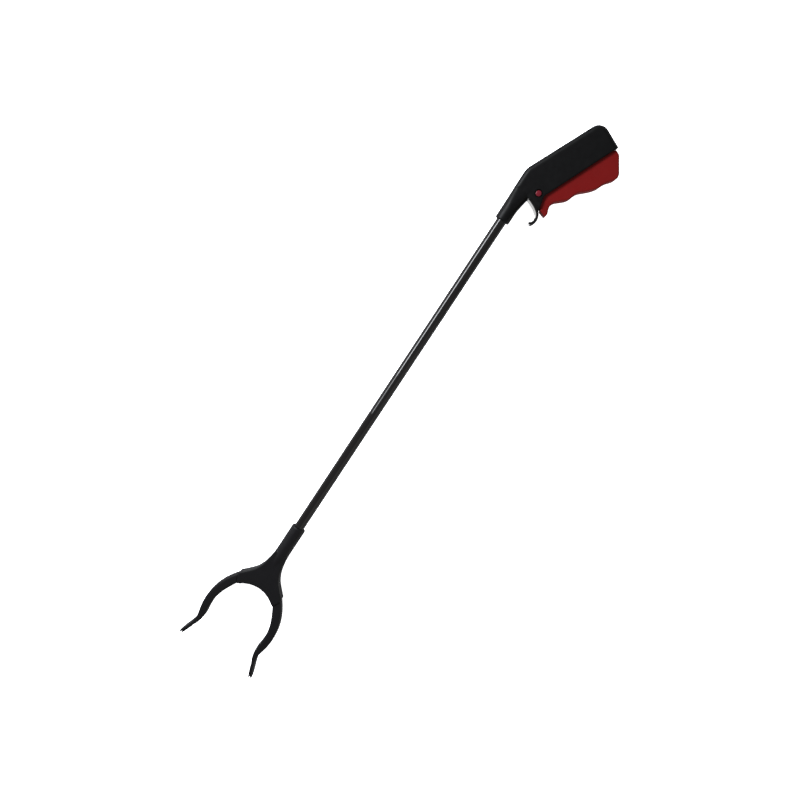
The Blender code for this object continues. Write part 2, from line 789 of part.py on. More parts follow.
def head_half(name, side, material, body):
    """One cover of the head: side is +1 for left, -1 for right."""
    half = plate(name, head_outline(), -HEAD_HALF_WIDTH, HEAD_HALF_WIDTH, HEAD_EDGE)
    collar = [
        (COLLAR_REAR, COLLAR_RADIUS - 1.0),
        (COLLAR_REAR - 1.0, COLLAR_RADIUS),
        (COLLAR_FRONT, COLLAR_RADIUS),
        (COLLAR_FRONT - 9.0, COLLAR_RADIUS - 0.7),
        (COLLAR_FRONT - 18.0, HEAD_HALF_WIDTH - 0.4),
    ]
    join(half, turned("collar", collar, FINE_ROUND))
    inside = HEAD_HALF_WIDTH - HEAD_WALL
    cut(half, plate("room", head_room(), -inside, inside))
    bore = rod("bore", COLLAR_REAR + 5.0, TUBE_FRONT - 0.5, TUBE_RADIUS + GAP, sides=FINE_ROUND)
    cut(half, bore)
    cut(half, rod("rod_way", TUBE_FRONT + 2.0, -262.0, ROD_RADIUS + 1.0, sides=20))
    half_only(half, side)
    near, out = sorted((side * GAP / 2.0, side * (HEAD_HALF_WIDTH - 1.0)))
    for spot in HEAD_SCREWS.values():
        join(half, rod("boss", near, out, HEAD_BOSS_RADIUS, "Z", spot, 14))
    for spot in HEAD_SCREWS.values():
        drill_screw(half, side, spot, HEAD_HALF_WIDTH, HEAD_SCREW_RADIUS, HEAD_SCREW_HEAD_RADIUS)
    for sign in (1.0, -1.0):
        spot = (JAW_PIVOT[0], sign * JAW_PIVOT[1])
        low, high = (0.0, HEAD_HALF_WIDTH - 1.0) if side > 0 else (-HEAD_HALF_WIDTH - 1.0, 0.0)
        cut(half, rod("pin_hole", low, high, JAW_PIVOT_RADIUS + GAP, "Z", spot, 20))
    if side < 0:
        cut(half, side_screw_hole(COLLAR_SCREW_X))
    return finish(half, material, body)


def make_crosshead(material, body):
    """Block on the front of the push rod with a fork over each jaw root."""
    front, rear, high = CROSSHEAD_BLOCK
    made = block("crosshead", (front, -high, -FORK_OUTER), (rear, high, FORK_OUTER))
    join(made, rod("boss", *CROSSHEAD_BOSS, sides=20))
    for sign in (1.0, -1.0):
        for low in (FORK_INNER, -FORK_OUTER):
            top = low + FORK_OUTER - FORK_INNER
            root = (FORK_ROOT[0], sign * FORK_ROOT[1])
            elbow = (FORK_ELBOW[0], sign * FORK_ELBOW[1])
            end = (JAW_DRIVE[0], sign * (JAW_DRIVE[1] + 0.1))
            arm = bar("arm", root, elbow, FORK_HALF_BREADTH, low, top)
            join(arm, bar("tip", elbow, end, FORK_HALF_BREADTH, low, top))
            join(made, arm)
        cut(made, rod("eye", -20.0, 20.0, JAW_DRIVE_RADIUS + 0.35, "Z", end, 16))
    cut(made, rod("rod_hole", ROD_FRONT - GAP, -255.0, ROD_RADIUS + GAP, sides=20))
    return finish(made, material, body)


def make_jaw(name, sign, material, body):
    """One jaw: a curved finger with a flat tongue that enters the head."""
    spine = spline([(x, sign * y, t, w) for x, y, t, w in JAW_SPINE])
    pivot = (JAW_PIVOT[0], sign * JAW_PIVOT[1])
    made = ribbon(name, spine, JAW_EDGE)
    cut(made, rod("shoulder", -20.0, 20.0, SEAM_RADIUS + 0.4, "Z", pivot, 64))
    corners = [(pivot[0] + x, pivot[1] + sign * y, r) for x, y, r in ROOT_OUTLINE]
    thick = ROOT_HALF_THICKNESS
    root = plate("root", fillet(corners), -thick, thick)
    join(root, rod("hub", -thick, thick, ROOT_HUB_RADIUS, "Z", pivot))
    join(made, root)
    cut(made, rod("pin_hole", -20.0, 20.0, JAW_PIVOT_RADIUS + GAP, "Z", pivot, 20))
    drive = (JAW_DRIVE[0], sign * JAW_DRIVE[1])
    cut(made, rod("drive_hole", -20.0, 20.0, JAW_DRIVE_RADIUS + GAP, "Z", drive, 16))
    return finish(made, material, body)


def make_pad(name, sign, material, body):
    """Rubber pad on the inner face of a jaw's tip."""
    spine = spline([(x, sign * y, t, w) for x, y, t, w in JAW_SPINE])
    inner = [p for p in spine if PAD_TIP < p[0] < PAD_HEEL]
    flipped = [(x, sign * y, t, w) for x, y, t, w in inner]
    made = ribbon(name, flipped, 0.5, GAP, PAD_THICKNESS, PAD_HALF_WIDTH)
    if sign < 0:
        made.data.transform(Matrix.Diagonal((1.0, -1.0, 1.0, 1.0)))
        made.data.flip_normals()
    return finish(made, material, body)


# ---------------------------------------------------------------- assembly


def main():
    clear_scene()
    black = make_material("black_housing", (0.012, 0.012, 0.014), 0.42)
    red = make_material("red_trigger", (0.27, 0.008, 0.010), 0.38)
    enamel = make_material("black_tube", (0.010, 0.010, 0.011), 0.18, 0.4)
    charcoal = make_material("charcoal_jaw", (0.016, 0.016, 0.018), 0.55)
    rubber = make_material("rubber_pad", (0.008, 0.008, 0.008), 0.85)
    steel = make_material("bright_steel", (0.62, 0.62, 0.64), 0.28, 1.0)
    nylon = make_material("white_nylon", (0.75, 0.74, 0.70), 0.5)

    root = make_empty("reacher", (0.0, AXIS_SHIFT_Y, AXIS_HEIGHT))
    frame = make_empty("frame", (0.0, 0.0, 0.0), root)
    trigger = make_empty("trigger_axis", (*PIVOT, 0.0), root)
    push = make_empty("rod_axis", (DRIVE_PIN[0], 0.0, 0.0), root)
    upper = make_empty("jaw_upper_axis", (*JAW_PIVOT, 0.0), root)
    lower = make_empty("jaw_lower_axis", (JAW_PIVOT[0], -JAW_PIVOT[1], 0.0), root)

    housing_half("handle_shell_left", 1, black, frame)
    housing_half("handle_shell_right", -1, black, frame)
    housing_screw = screw_mesh(
        "screw",
        HALF_WIDTH,
        SCREW_REACH,
        SCREW_RADIUS,
        SCREW_HEAD_RADIUS,
        SCREW_HEAD_HEIGHT,
        SCREW_SUNK,
    )
    screws(HOUSING_SCREWS, housing_screw, steel, frame)
    side_screw("socket_screw", SOCKET_SCREW_X, SOCKET_RADIUS, steel, frame)
    make_pivot_pin(red, frame)

    make_trigger(red, trigger)
    ends = (-DRIVE_PIN_HALF_LENGTH, DRIVE_PIN_HALF_LENGTH)
    drive = rod("trigger_drive_pin", *ends, DRIVE_PIN_RADIUS, "Z", DRIVE_PIN, 20)
    finish(drive, steel, trigger)

    finish(make_tube(), enamel, frame)
    for name, middle in GUIDE_STATIONS.items():
        finish(make_guide(name, middle), nylon, frame)

    finish(rod("push_rod", ROD_FRONT, ROD_REAR, ROD_RADIUS, sides=20), steel, push)
    make_clevis(steel, push)
    make_crosshead(steel, push)
    make_spring(steel, frame)

    head_half("head_cover_left", 1, charcoal, frame)
    head_half("head_cover_right", -1, charcoal, frame)
    head_screw = screw_mesh(
        "small_screw",
        HEAD_HALF_WIDTH,
        HEAD_SCREW_REACH,
        HEAD_SCREW_RADIUS,
        HEAD_SCREW_HEAD_RADIUS,
        HEAD_SCREW_HEAD_HEIGHT,
        HEAD_SCREW_SUNK,
    )
    screws(HEAD_SCREWS, head_screw, steel, frame)
    side_screw("collar_screw", COLLAR_SCREW_X, COLLAR_RADIUS, steel, frame)

    for label, sign, body in (("upper", 1, upper), ("lower", -1, lower)):
        make_jaw("jaw_" + label, sign, charcoal, body)
        make_pad("tip_pad_" + label, sign, rubber, body)
        spot = (JAW_PIVOT[0], sign * JAW_PIVOT[1])
        ends = (-HEAD_HALF_WIDTH + 0.4, HEAD_HALF_WIDTH - 1.3)
        pin = rod("jaw_pivot_pin_" + label, *ends, JAW_PIVOT_RADIUS, "Z", spot, 20)
        finish(pin, steel, frame)
        spot = (JAW_DRIVE[0], sign * JAW_DRIVE[1])
        ends = (-JAW_DRIVE_HALF_LENGTH, JAW_DRIVE_HALF_LENGTH)
        pin = rod("jaw_drive_pin_" + label, *ends, JAW_DRIVE_RADIUS, "Z", spot, 16)
        finish(pin, steel, body)


main()
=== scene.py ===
"""Studio scene of the reacher grabber: its moulded, painted and metal pieces."""

import math

import bmesh
import bpy
from bpy.props import FloatProperty, FloatVectorProperty, IntProperty, PointerProperty
from mathutils import Matrix, Vector


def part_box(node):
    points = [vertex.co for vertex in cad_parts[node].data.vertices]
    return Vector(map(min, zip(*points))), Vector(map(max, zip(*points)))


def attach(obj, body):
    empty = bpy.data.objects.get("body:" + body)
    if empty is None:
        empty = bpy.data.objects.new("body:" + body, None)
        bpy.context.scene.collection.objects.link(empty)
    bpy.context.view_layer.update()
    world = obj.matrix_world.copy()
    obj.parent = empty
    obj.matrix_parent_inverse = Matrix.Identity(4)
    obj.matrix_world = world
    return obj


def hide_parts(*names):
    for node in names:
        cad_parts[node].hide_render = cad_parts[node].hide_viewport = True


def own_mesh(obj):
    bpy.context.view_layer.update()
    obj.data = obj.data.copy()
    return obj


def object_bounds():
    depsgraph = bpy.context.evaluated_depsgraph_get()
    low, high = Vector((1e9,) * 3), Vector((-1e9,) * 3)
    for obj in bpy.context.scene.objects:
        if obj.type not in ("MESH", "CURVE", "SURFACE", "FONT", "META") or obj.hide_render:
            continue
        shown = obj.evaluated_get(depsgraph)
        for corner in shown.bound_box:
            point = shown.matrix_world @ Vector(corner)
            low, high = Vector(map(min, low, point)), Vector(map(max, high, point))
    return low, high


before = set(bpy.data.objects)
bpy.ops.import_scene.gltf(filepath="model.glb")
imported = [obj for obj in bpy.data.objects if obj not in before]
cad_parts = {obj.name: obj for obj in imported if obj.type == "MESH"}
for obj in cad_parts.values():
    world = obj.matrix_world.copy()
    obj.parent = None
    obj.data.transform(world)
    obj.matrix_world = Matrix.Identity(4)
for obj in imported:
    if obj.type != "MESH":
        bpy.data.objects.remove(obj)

bl_info = {
    "name": "Reacher Grabber",
    "version": (1, 0, 0),
    "blender": (4, 5, 0),
    "location": "3D View > Sidebar > Reacher",
    "description": "Builds the visible pieces of a reacher grabber round its packed frame",
    "category": "Object",
}

CAD_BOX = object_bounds()
MM = 0.001
GAP = 0.3

# The tube's own box places the millimetre drawings below in the frame
TUBE_LOW, TUBE_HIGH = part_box("tube")
AXIS = (TUBE_LOW + TUBE_HIGH) / 2.0
TUBE_RADIUS = (TUBE_HIGH.z - TUBE_LOW.z) / 2.0 / MM
TUBE_FRONT = TUBE_LOW.x / MM
TUBE_REAR = TUBE_HIGH.x / MM
TO_FRAME = Matrix.Translation((0.0, AXIS.y, AXIS.z)) @ Matrix.Scale(MM, 4)


def centre_of(node):
    """Middle of a CAD node in the drawings' own axes, in millimetres."""
    low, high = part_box(node)
    middle = (low + high) / 2.0
    return (middle.x / MM, (middle.y - AXIS.y) / MM)


PIVOT = centre_of("trigger_pivot_pin")
DRIVE_PIN = centre_of("trigger_drive_pin")
JAW_PIVOTS = {"upper": centre_of("jaw_pivot_pin_upper"), "lower": centre_of("jaw_pivot_pin_lower")}
JAW_DRIVES = {"upper": centre_of("jaw_drive_pin_upper"), "lower": centre_of("jaw_drive_pin_lower")}
HOUSING_SCREWS = [centre_of("housing_screw_" + n) for n in ("front", "knee", "middle", "rear")]
HEAD_SCREWS = [centre_of("head_screw_" + n) for n in ("upper", "lower")]
SOCKET_SCREW = centre_of("socket_screw")
COLLAR_SCREW = centre_of("collar_screw")

TUBE_WALL = 1.0
HALF_WIDTH = 14.0
# Cutters reach this far along Z, past every face they cross
CUT_REACH = 20.0
PLATE_REACH = 30.0
PARTING_BLOCK = (450.0, 200.0, 60.0)
SHELL_WALL = 2.4
EDGE_RADIUS = 6.0
ROOM_EDGE_RADIUS = 2.4
SOCKET_RADIUS = 9.1
SOCKET_FRONT = 254.2
SOCKET_EASE = (0.8, 0.6)
SOCKET_MIDDLE = 261.0
NECK_START = 268.0
NECK_END = 302.0
NECK_STEPS = 24
NECK_SIDES = 96
NECK_DROP = 4.0
NECK_SQUARENESS = 2.2
BORE_END = 297.0
GRIP_TOP = 9.4
GRIP_CORNERS = [
    (291.6, -9.0, 0.0), (292.5, GRIP_TOP, 0.0), (319.1, GRIP_TOP, 20.0), (410.8, -33.8, 13.0),
    (388.6, -81.2, 0.0), (287.0, -44.0, 0.0), (286.4, -27.5, 0.0),
]
LIP_CORNERS = [
    (278.0, -32.2, 0.0), (303.3, -26.0, 6.0), (389.2, -63.9, 0.0), (425.0, -79.7, 0.0),
    (425.0, -110.0, 0.0), (278.0, -110.0, 0.0),
]
HOOK_HALF_WIDTH = 12.0
HOOK_THICKNESS = 3.4
HOOK_REAR = 293.0
HOOK_TOP = -11.5
HOOK_INSIDE = Vector((-0.92, 0.39, 0.0))
HOOK_FACING = 0.6
HOOK_LEAN = 0.35
SET_SCREW_HOLE = (-12.0, -3.0)
HOOK_PATH = [
    (296.5, -7.4), (292.6, -12.8), (290.2, -18.5), (286.9, -25.2), (282.2, -30.8),
    (275.8, -33.2), (270.6, -31.6), (267.6, -28.4),
]
BOSS_RADIUS = 3.3
SCREW_RADIUS = 1.35
SCREW_HEAD_RADIUS = 2.7
SCREW_HEAD_HEIGHT = 1.8
COUNTERBORE_DEPTH = 3.4
PIN_HEAD_RADIUS = 3.9
PIN_RADIUS = 2.5
PIN_RING = 0.9
PIN_DOME = 0.8
PIN_HEAD_HEIGHT = 1.2
PIN_SEAT_FLOOR = 11.5
TRIGGER_HALF_WIDTH = 10.5
TRIGGER_WALL = 2.2
HUB_RADIUS = 6.2
HUB_SEAT = (10.9, 13.0)
ARM_HALF_THICKNESS = 3.0
ARM_HALF_BREADTH = 3.4
DRIVE_PIN_RADIUS = 1.5
TRIGGER_WAVES = [
    (288.6, -40.9), (294.4, -38.6), (299.3, -38.2), (304.3, -40.2), (308.6, -44.7),
    (313.5, -50.2), (318.5, -53.3), (323.5, -54.8), (328.6, -57.6), (334.0, -63.4),
    (340.0, -69.4), (345.5, -73.4), (351.0, -75.6), (356.2, -78.5), (361.8, -83.2),
    (366.8, -85.4), (371.4, -84.4),
]
TRIGGER_REAR = [(389.0, -71.9), (391.5, -66.5), (388.8, -62.2)]
TRIGGER_TOP = [(309.0, -24.6), (304.6, -19.6), (299.4, -19.6), (294.8, -24.4)]
TRIGGER_SPUR = [(290.2, -27.4), (289.2, -31.2), (287.3, -31.2), (284.5, -40.4)]
TRIGGER_HOLLOW = [
    (312.5, -20.0, 0.0), (388.4, -50.0, 0.0), (385.0, -71.4, 3.0), (369.5, -81.2, 3.0),
    (358.0, -76.0, 8.0), (346.0, -70.6, 8.0), (336.0, -61.5, 6.0), (329.0, -54.4, 6.0),
    (316.0, -49.6, 3.0),
]
COLLAR_RADIUS = 9.1
COLLAR_REAR = -200.2
COLLAR_FRONT = -246.0
HEAD_HALF_WIDTH = 7.8
HEAD_WALL = 2.2
HEAD_EDGE = 1.5
HEAD_FLARE = [
    (-240.0, 9.1), (-248.5, 9.6), (-257.8, 11.1), (-265.8, 13.2), (-273.9, 17.0),
    (-279.3, 21.0), (-284.6, 25.8), (-288.4, 29.4),
]
SEAM_RADIUS = 26.0
SEAM_GAP = 0.4
FRONT_ARC_CENTRE = -331.5
FRONT_ARC_RADIUS = 36.9
HEAD_SCREW_RADIUS = 1.1
HEAD_SCREW_HEAD_RADIUS = 1.9
HEAD_SCREW_HEAD_HEIGHT = 1.3
HEAD_BOSS_RADIUS = 2.6
JAW_SPINE = [
    (-295.0, 26.6, 11.4, 6.5), (-303.7, 32.6, 12.0, 6.5), (-314.0, 38.2, 12.6, 6.6),
    (-323.8, 42.3, 12.2, 6.8), (-333.8, 44.9, 11.6, 7.1), (-343.9, 46.0, 11.0, 7.5),
    (-354.2, 45.6, 10.6, 8.0), (-364.3, 44.2, 9.6, 8.5), (-370.8, 43.8, 7.9, 8.9),
    (-378.0, 44.9, 6.2, 9.3), (-388.2, 48.7, 4.3, 9.7), (-395.0, 51.6, 3.5, 9.0),
    (-400.6, 53.7, 2.9, 6.6), (-403.8, 54.7, 2.5, 4.2), (-405.4, 55.1, 2.0, 2.0),
]
ROOT_HALF_THICKNESS = 3.2
ROOT_HUB_RADIUS = 5.0
ROOT_OUTLINE = [
    (-4.6, -1.5, 0.0), (-6.0, 4.0, 10.0), (-12.6, 15.6, 0.0), (-17.5, 22.5, 0.0),
    (-6.6, 26.8, 0.0), (-3.4, 21.2, 0.0), (0.4, 17.6, 3.0), (5.8, 14.2, 2.5), (5.0, -0.5, 0.0),
]
JAW_PIVOT_RADIUS = 1.75
JAW_DRIVE_RADIUS = 1.25
PAD_HEEL = -388.0
PAD_TIP = -404.5
PAD_THICKNESS = 1.6
PAD_HALF_WIDTH = 8.6
# Softbox: name, place along the tube, length, share of the power
SOFTBOX_PARTS = (("softbox", 0.33, 0.84, 0.89), ("softbox_end", -0.15, 0.12, 0.06))
SOFTBOX_WIDTH = 0.36
SOFTBOX_PLACE = (0.857, 0.721)
COOL_LIGHT = (0.93, 0.96, 1.0)
WARM_LIGHT = (1.0, 0.96, 0.92)
FILL_PLACE = (-0.5, -1.1, 0.9)
FILL_SIZE = 1.2
FLOOR_RADIUS = 9.0
FLOOR_DROP = 0.0002
FLOOR_GLOW = 0.95
CAMERA_TARGET = (0.0068, -0.0025)


# ---------------------------------------------------------------- settings


def length_setting(name, description, default, low, high):
    """A small length, shown in the scene's units."""
    return FloatProperty(
        name=name,
        description=description,
        default=default,
        min=low,
        max=high,
        precision=5,
        unit="LENGTH",
    )


def count_setting(name, description, default, low, high):
    """A whole number."""
    return IntProperty(name=name, description=description, default=default, min=low, max=high)


def stage_setting(name, description, default, low=0.0, **kind):
    """A number for the lights or the camera."""
    return FloatProperty(name=name, description=description, default=default, min=low, **kind)


class ReacherSizes(bpy.types.PropertyGroup):
    """Sizes that only the visible pieces have."""

    voxel: length_setting(
        "Moulding detail", "Grid size on which moulded pieces are blended", 0.0006, 0.0003, 0.002
    )
    blend_passes: count_setting("Blending", "How often a moulded piece is smoothed", 8, 0, 40)
    recess_width: length_setting(
        "Cross recess width", "Width of the arms of a screw's cross recess", 0.0008, 0.0002, 0.002
    )
    spring_wire: length_setting(
        "Spring wire radius", "Radius of the return spring's wire", 0.00045, 0.0002, 0.001
    )
    spring_turns: count_setting("Spring turns", "Turns of the return spring", 6, 3, 12)
    pad_ribs: count_setting("Pad ribs", "Ribs across each tip pad", 9, 0, 20)


def colour_setting(name, description, default):
    """A colour that the sidebar shows with a swatch."""
    return FloatVectorProperty(
        name=name,
        description=description,
        subtype="COLOR",
        size=4,
        min=0.0,
        max=1.0,
        default=default,
    )


class ReacherFinishes(bpy.types.PropertyGroup):
    """Colours of the finishes."""

    housing: colour_setting("Housing", "Black plastic of the handle", (0.0010, 0.0010, 0.0011, 1.0))
    trigger: colour_setting("Trigger", "Red plastic of the trigger", (0.058, 0.0022, 0.0021, 1.0))
    pin: colour_setting("Pivot pin", "Brighter red of the pivot pin", (0.058, 0.0034, 0.0070, 1.0))
    tube: colour_setting("Tube", "Gloss black enamel", (0.0030, 0.0026, 0.0026, 1.0))
    jaws: colour_setting("Jaws and head", "Charcoal plastic", (0.0024, 0.0023, 0.0027, 1.0))
    pads: colour_setting("Tip pads", "Black rubber", (0.0024, 0.0023, 0.0024, 1.0))
    steel: colour_setting("Steel", "Zinc-plated steel", (0.56, 0.56, 0.57, 1.0))
    nylon: colour_setting("Rod guides", "Natural nylon", (0.74, 0.72, 0.66, 1.0))


class ReacherStage(bpy.types.PropertyGroup):
    """Floor, lights and camera."""

    floor: colour_setting("Floor", "Plain pale floor", (0.93, 0.93, 0.93, 1.0))
    key_power: stage_setting(
        "Softbox", "Power of the large softbox above the tube", 50.0, unit="POWER"
    )
    fill_power: stage_setting(
        "Fill", "Power of the weaker light on the other side", 4.0, unit="POWER"
    )
    sky: stage_setting("Room light", "Strength of the even light from all sides", 0.7)
    distance: stage_setting(
        "Camera distance", "From the camera to the middle of the tool", 1.0, 0.3, unit="LENGTH"
    )
    tilt: stage_setting(
        "Camera tilt",
        "Lean of the camera towards the handle",
        math.radians(7.7),
        -math.pi,
        subtype="ANGLE",
        unit="ROTATION",
    )
    roll: stage_setting(
        "Camera roll",
        "Angle between the tube and the picture's lower edge",
        math.radians(56.43),
        -math.pi,
        subtype="ANGLE",
        unit="ROTATION",
    )
    lens: stage_setting(
        "Focal length", "Focal length on a 36 mm sensor", 36.45, 10.0, unit="CAMERA"
    )


# ---------------------------------------------------------------- mesh tools


def new_object(name, bm):
    """Turn a bmesh drawn in millimetres into an object in the frame."""
    bmesh.ops.remove_doubles(bm, verts=bm.verts, dist=0.0001)
    bmesh.ops.recalc_face_normals(bm, faces=bm.faces)
    bm.transform(TO_FRAME)
    mesh = bpy.data.meshes.new(name)
    bm.to_mesh(mesh)
    bm.free()
    made = bpy.data.objects.new(name, mesh)
    bpy.context.scene.collection.objects.link(made)
    return made


def bake(made):
    """Apply an object's modifiers."""
    graph = bpy.context.evaluated_depsgraph_get()
    result = bpy.data.meshes.new_from_object(made.evaluated_get(graph))
    made.modifiers.clear()
    made.data = result
    return made


def combine(target, tool, operation):
    """Apply a Boolean of tool on target and remove the tool."""
    modifier = target.modifiers.new("shape", "BOOLEAN")
    modifier.operation = operation
    modifier.object = tool
    modifier.solver = "MANIFOLD"
    bake(target)
    if not target.data.polygons:
        raise RuntimeError("a Boolean left nothing of " + target.name)
    bpy.data.objects.remove(tool, do_unlink=True)


def cut(target, *tools):
    """Subtract each tool from target."""
    for tool in tools:
        combine(target, tool, "DIFFERENCE")


def join(target, *tools):
    """Unite each tool with target."""
    for tool in tools:
        combine(target, tool, "UNION")


def mould(made, voxel, passes):
    """Blend a solid's joins and ease its edges, as a moulding's are."""
    grid = made.modifiers.new("grid", "REMESH")
    grid.mode = "VOXEL"
    grid.voxel_size = voxel
    ease = made.modifiers.new("ease", "SMOOTH")
    ease.factor = 0.5
    ease.iterations = passes
    return bake(made)


def copy_of(made, name):
    """A second object with its own mesh."""
    twin = bpy.data.objects.new(name, made.data.copy())
    bpy.context.scene.collection.objects.link(twin)
    return twin


def finish(made, material, body, slot, *nodes, angle=35.0):
    """Give a finished piece its material, shading and body, and hide the CAD nodes it stands in
    for; slot is not used.
    """
    made.data.materials.clear()
    made.data.materials.append(material)
    made.data.shade_smooth()
    made.data.set_sharp_from_angle(angle=math.radians(angle))
    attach(made, body)
    if nodes:
        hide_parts(*nodes)
    return made


# ---------------------------------------------------------------- outlines


def arc(centre, radius, start, end, steps):
    """Points on an arc, from angle start to angle end in radians."""
    points = []
    for i in range(steps + 1):
        angle = start + (end - start) * i / steps
        x = centre[0] + radius * math.cos(angle)
        y = centre[1] + radius * math.sin(angle)
        points.append((x, y))
    return points


def fillet(corners, step=math.radians(4.0)):
    """Outline of (x, y, radius) corners with each corner rounded by an arc."""
    outline = []
    for i, (x, y, radius) in enumerate(corners):
        here = Vector((x, y))
        if radius == 0.0:
            outline.append((x, y))
            continue
        back = (Vector(corners[i - 1][:2]) - here).normalized()
        ahead = (Vector(corners[(i + 1) % len(corners)][:2]) - here).normalized()
        half = back.angle(ahead) / 2.0
        centre = here + (back + ahead).normalized() * (radius / math.sin(half))
        reach = radius / math.tan(half)
        first = here + back * reach - centre
        sweep = first.angle_signed(here + ahead * reach - centre)
        steps = max(3, round(abs(sweep) / step))
        for k in range(steps + 1):
            outline.append(tuple(centre + Matrix.Rotation(-sweep * k / steps, 2) @ first))
    return outline


def inset(corners, distance):
    """Corners of the outline moved inwards by distance, radii kept parallel."""
    area = sum(
        corners[i - 1][0] * corners[i][1] - corners[i][0] * corners[i - 1][1]
        for i in range(len(corners))
    )
    side = math.copysign(1.0, area)
    moved = []
    for i, (x, y, radius) in enumerate(corners):
        here = Vector((x, y))
        into = (here - Vector(corners[i - 1][:2])).normalized()
        out = (Vector(corners[(i + 1) % len(corners)][:2]) - here).normalized()
        normal_in = Vector((-into.y, into.x)) * side
        normal_out = Vector((-out.y, out.x)) * side
        point = here + (normal_in + normal_out) / (1.0 + normal_in.dot(normal_out)) * distance
        moved.append((point.x, point.y, max(0.0, radius - distance)))
    return moved


def spline(points, per_span=6):
    """Catmull-Rom curve through points of any dimension."""
    ends = [tuple(2.0 * a - b for a, b in zip(points[0], points[1]))]
    tail = [tuple(2.0 * a - b for a, b in zip(points[-1], points[-2]))]
    chain = ends + list(points) + tail
    curve = []
    for i in range(1, len(chain) - 2):
        for k in range(per_span):
            t = k / per_span
            weights = (
                -0.5 * t + t * t - 0.5 * t**3,
                1.0 - 2.5 * t * t + 1.5 * t**3,
                0.5 * t + 2.0 * t * t - 1.5 * t**3,
                -0.5 * t * t + 0.5 * t**3,
            )
            near = zip(*chain[i - 1 : i + 3])
            curve.append(tuple(sum(w * v for w, v in zip(weights, axis)) for axis in near))
    curve.append(tuple(points[-1]))
    return curve


def mirrored(points):
    """The same points on the other side of the tube axis."""
    return [(p[0], -p[1], *p[2:]) for p in points]


def headings(points):
    """Unit vector along the path at each of its points."""
    last = len(points) - 1
    found = []
    for i in range(last + 1):
        before = Vector(points[max(0, i - 1)][:2])
        after = Vector(points[min(last, i + 1)][:2])
        found.append((after - before).normalized())
    return found


# ---------------------------------------------------------------- solids


def skin_rings(name, rings, closed=False):
    """Solid from rings of points, capped unless the last ring meets the first."""
    bm = bmesh.new()
    made = [[bm.verts.new(p) for p in ring] for ring in rings]
    pairs = list(zip(made, made[1:]))
    if closed:
        pairs.append((made[-1], made[0]))
    for a, b in pairs:
        for i in range(len(a)):
            bm.faces.new((a[i - 1], a[i], b[i], b[i - 1]))
    if not closed:
        bm.faces.new(made[0])
        bm.faces.new(made[-1])
    return new_object(name, bm)


def plate(name, outline, low, high, edge=0.0, segments=5):
    """Extrude an outline from z low to z high, rounding both rims by edge."""
    bm = bmesh.new()
    face = bm.faces.new([bm.verts.new((x, y, low)) for x, y in outline])
    made = bmesh.ops.extrude_face_region(bm, geom=[face])
    raised = [g for g in made["geom"] if isinstance(g, bmesh.types.BMVert)]
    bmesh.ops.translate(bm, verts=raised, vec=(0.0, 0.0, high - low))
    if edge > 0.0:
        rims = [e for e in bm.edges if abs(e.verts[0].co.z - e.verts[1].co.z) < 1e-6]
        bmesh.ops.bevel(
            bm, geom=rims, offset=edge, segments=segments, profile=0.5, affect="EDGES"
        )
    return new_object(name, bm)


def turned(name, profile, axis="X", at=(0.0, 0.0), sides=64, closed=False):
    """Solid of revolution of (position, radius) along X or Z."""
    rings = []
    for position, radius in profile:
        ring = []
        for i in range(sides):
            angle = 2.0 * math.pi * i / sides
            u, v = radius * math.cos(angle), radius * math.sin(angle)
            if axis == "X":
                ring.append((position, at[0] + u, at[1] + v))
            else:
                ring.append((at[0] + u, at[1] + v, position))
        rings.append(ring)
    return skin_rings(name, rings, closed)


def rod(name, start, end, radius, axis="X", at=(0.0, 0.0), sides=48):
    """Plain cylinder along X or Z, for cutting holes and adding bosses."""
    return turned(name, [(start, radius), (end, radius)], axis, at, sides)


def bar(name, start, end, half_breadth, low, high):
    """Flat bar with round ends between two (x, y) points."""
    heading = math.atan2(end[1] - start[1], end[0] - start[0])
    quarter = math.pi / 2.0
    outline = arc(start, half_breadth, heading + quarter, heading + 3.0 * quarter, 16)
    outline += arc(end, half_breadth, heading - quarter, heading + quarter, 16)
    return plate(name, outline, low, high)


def oval(x, y, across, deep, wide, power, sides):
    """Ring of a rounded bar's section, square to its path."""
    ring = []
    for i in range(sides):
        angle = 2.0 * math.pi * (i + 0.5) / sides
        c, s = math.cos(angle), math.sin(angle)
        reach = deep * math.copysign(abs(c) ** power, c)
        z = wide * math.copysign(abs(s) ** power, s)
        ring.append((x + across.x * reach, y + across.y * reach, z))
    return ring


def ribbon(name, spine, power=0.45, sides=48):
    """Sweep a rounded bar along spine points (x, y, thickness, half width)."""
    rings = []
    for (x, y, thickness, half), along in zip(spine, headings(spine)):
        across = Vector((-along.y, along.x))
        rings.append(oval(x, y, across, thickness / 2.0, half, power, sides))
    return skin_rings(name, rings)


def parting(side):
    """Block that covers everything beyond the parting plane from one half."""
    x, y, far = PARTING_BLOCK
    low, high = (-far, GAP / 2.0) if side > 0 else (-GAP / 2.0, far)
    return plate("parting", [(-x, -y), (x, -y), (x, y), (-x, y)], low, high)


def drill_screws(half, side, spots, face, shank, head):
    """Pilot holes on the left half, through holes and counterbores on the right."""
    for spot in spots:
        if side > 0:
            cut(half, rod("pilot", -1.0, face * 0.6, shank + GAP, "Z", spot, 24))
        else:
            step = COUNTERBORE_DEPTH - face
            profile = [(-face - 1.0, head + GAP), (step, head + GAP)]
            profile += [(step, shank + GAP), (1.0, shank + GAP)]
            cut(half, turned("counterbore", profile, "Z", spot, 32))


# ---------------------------------------------------------------- materials


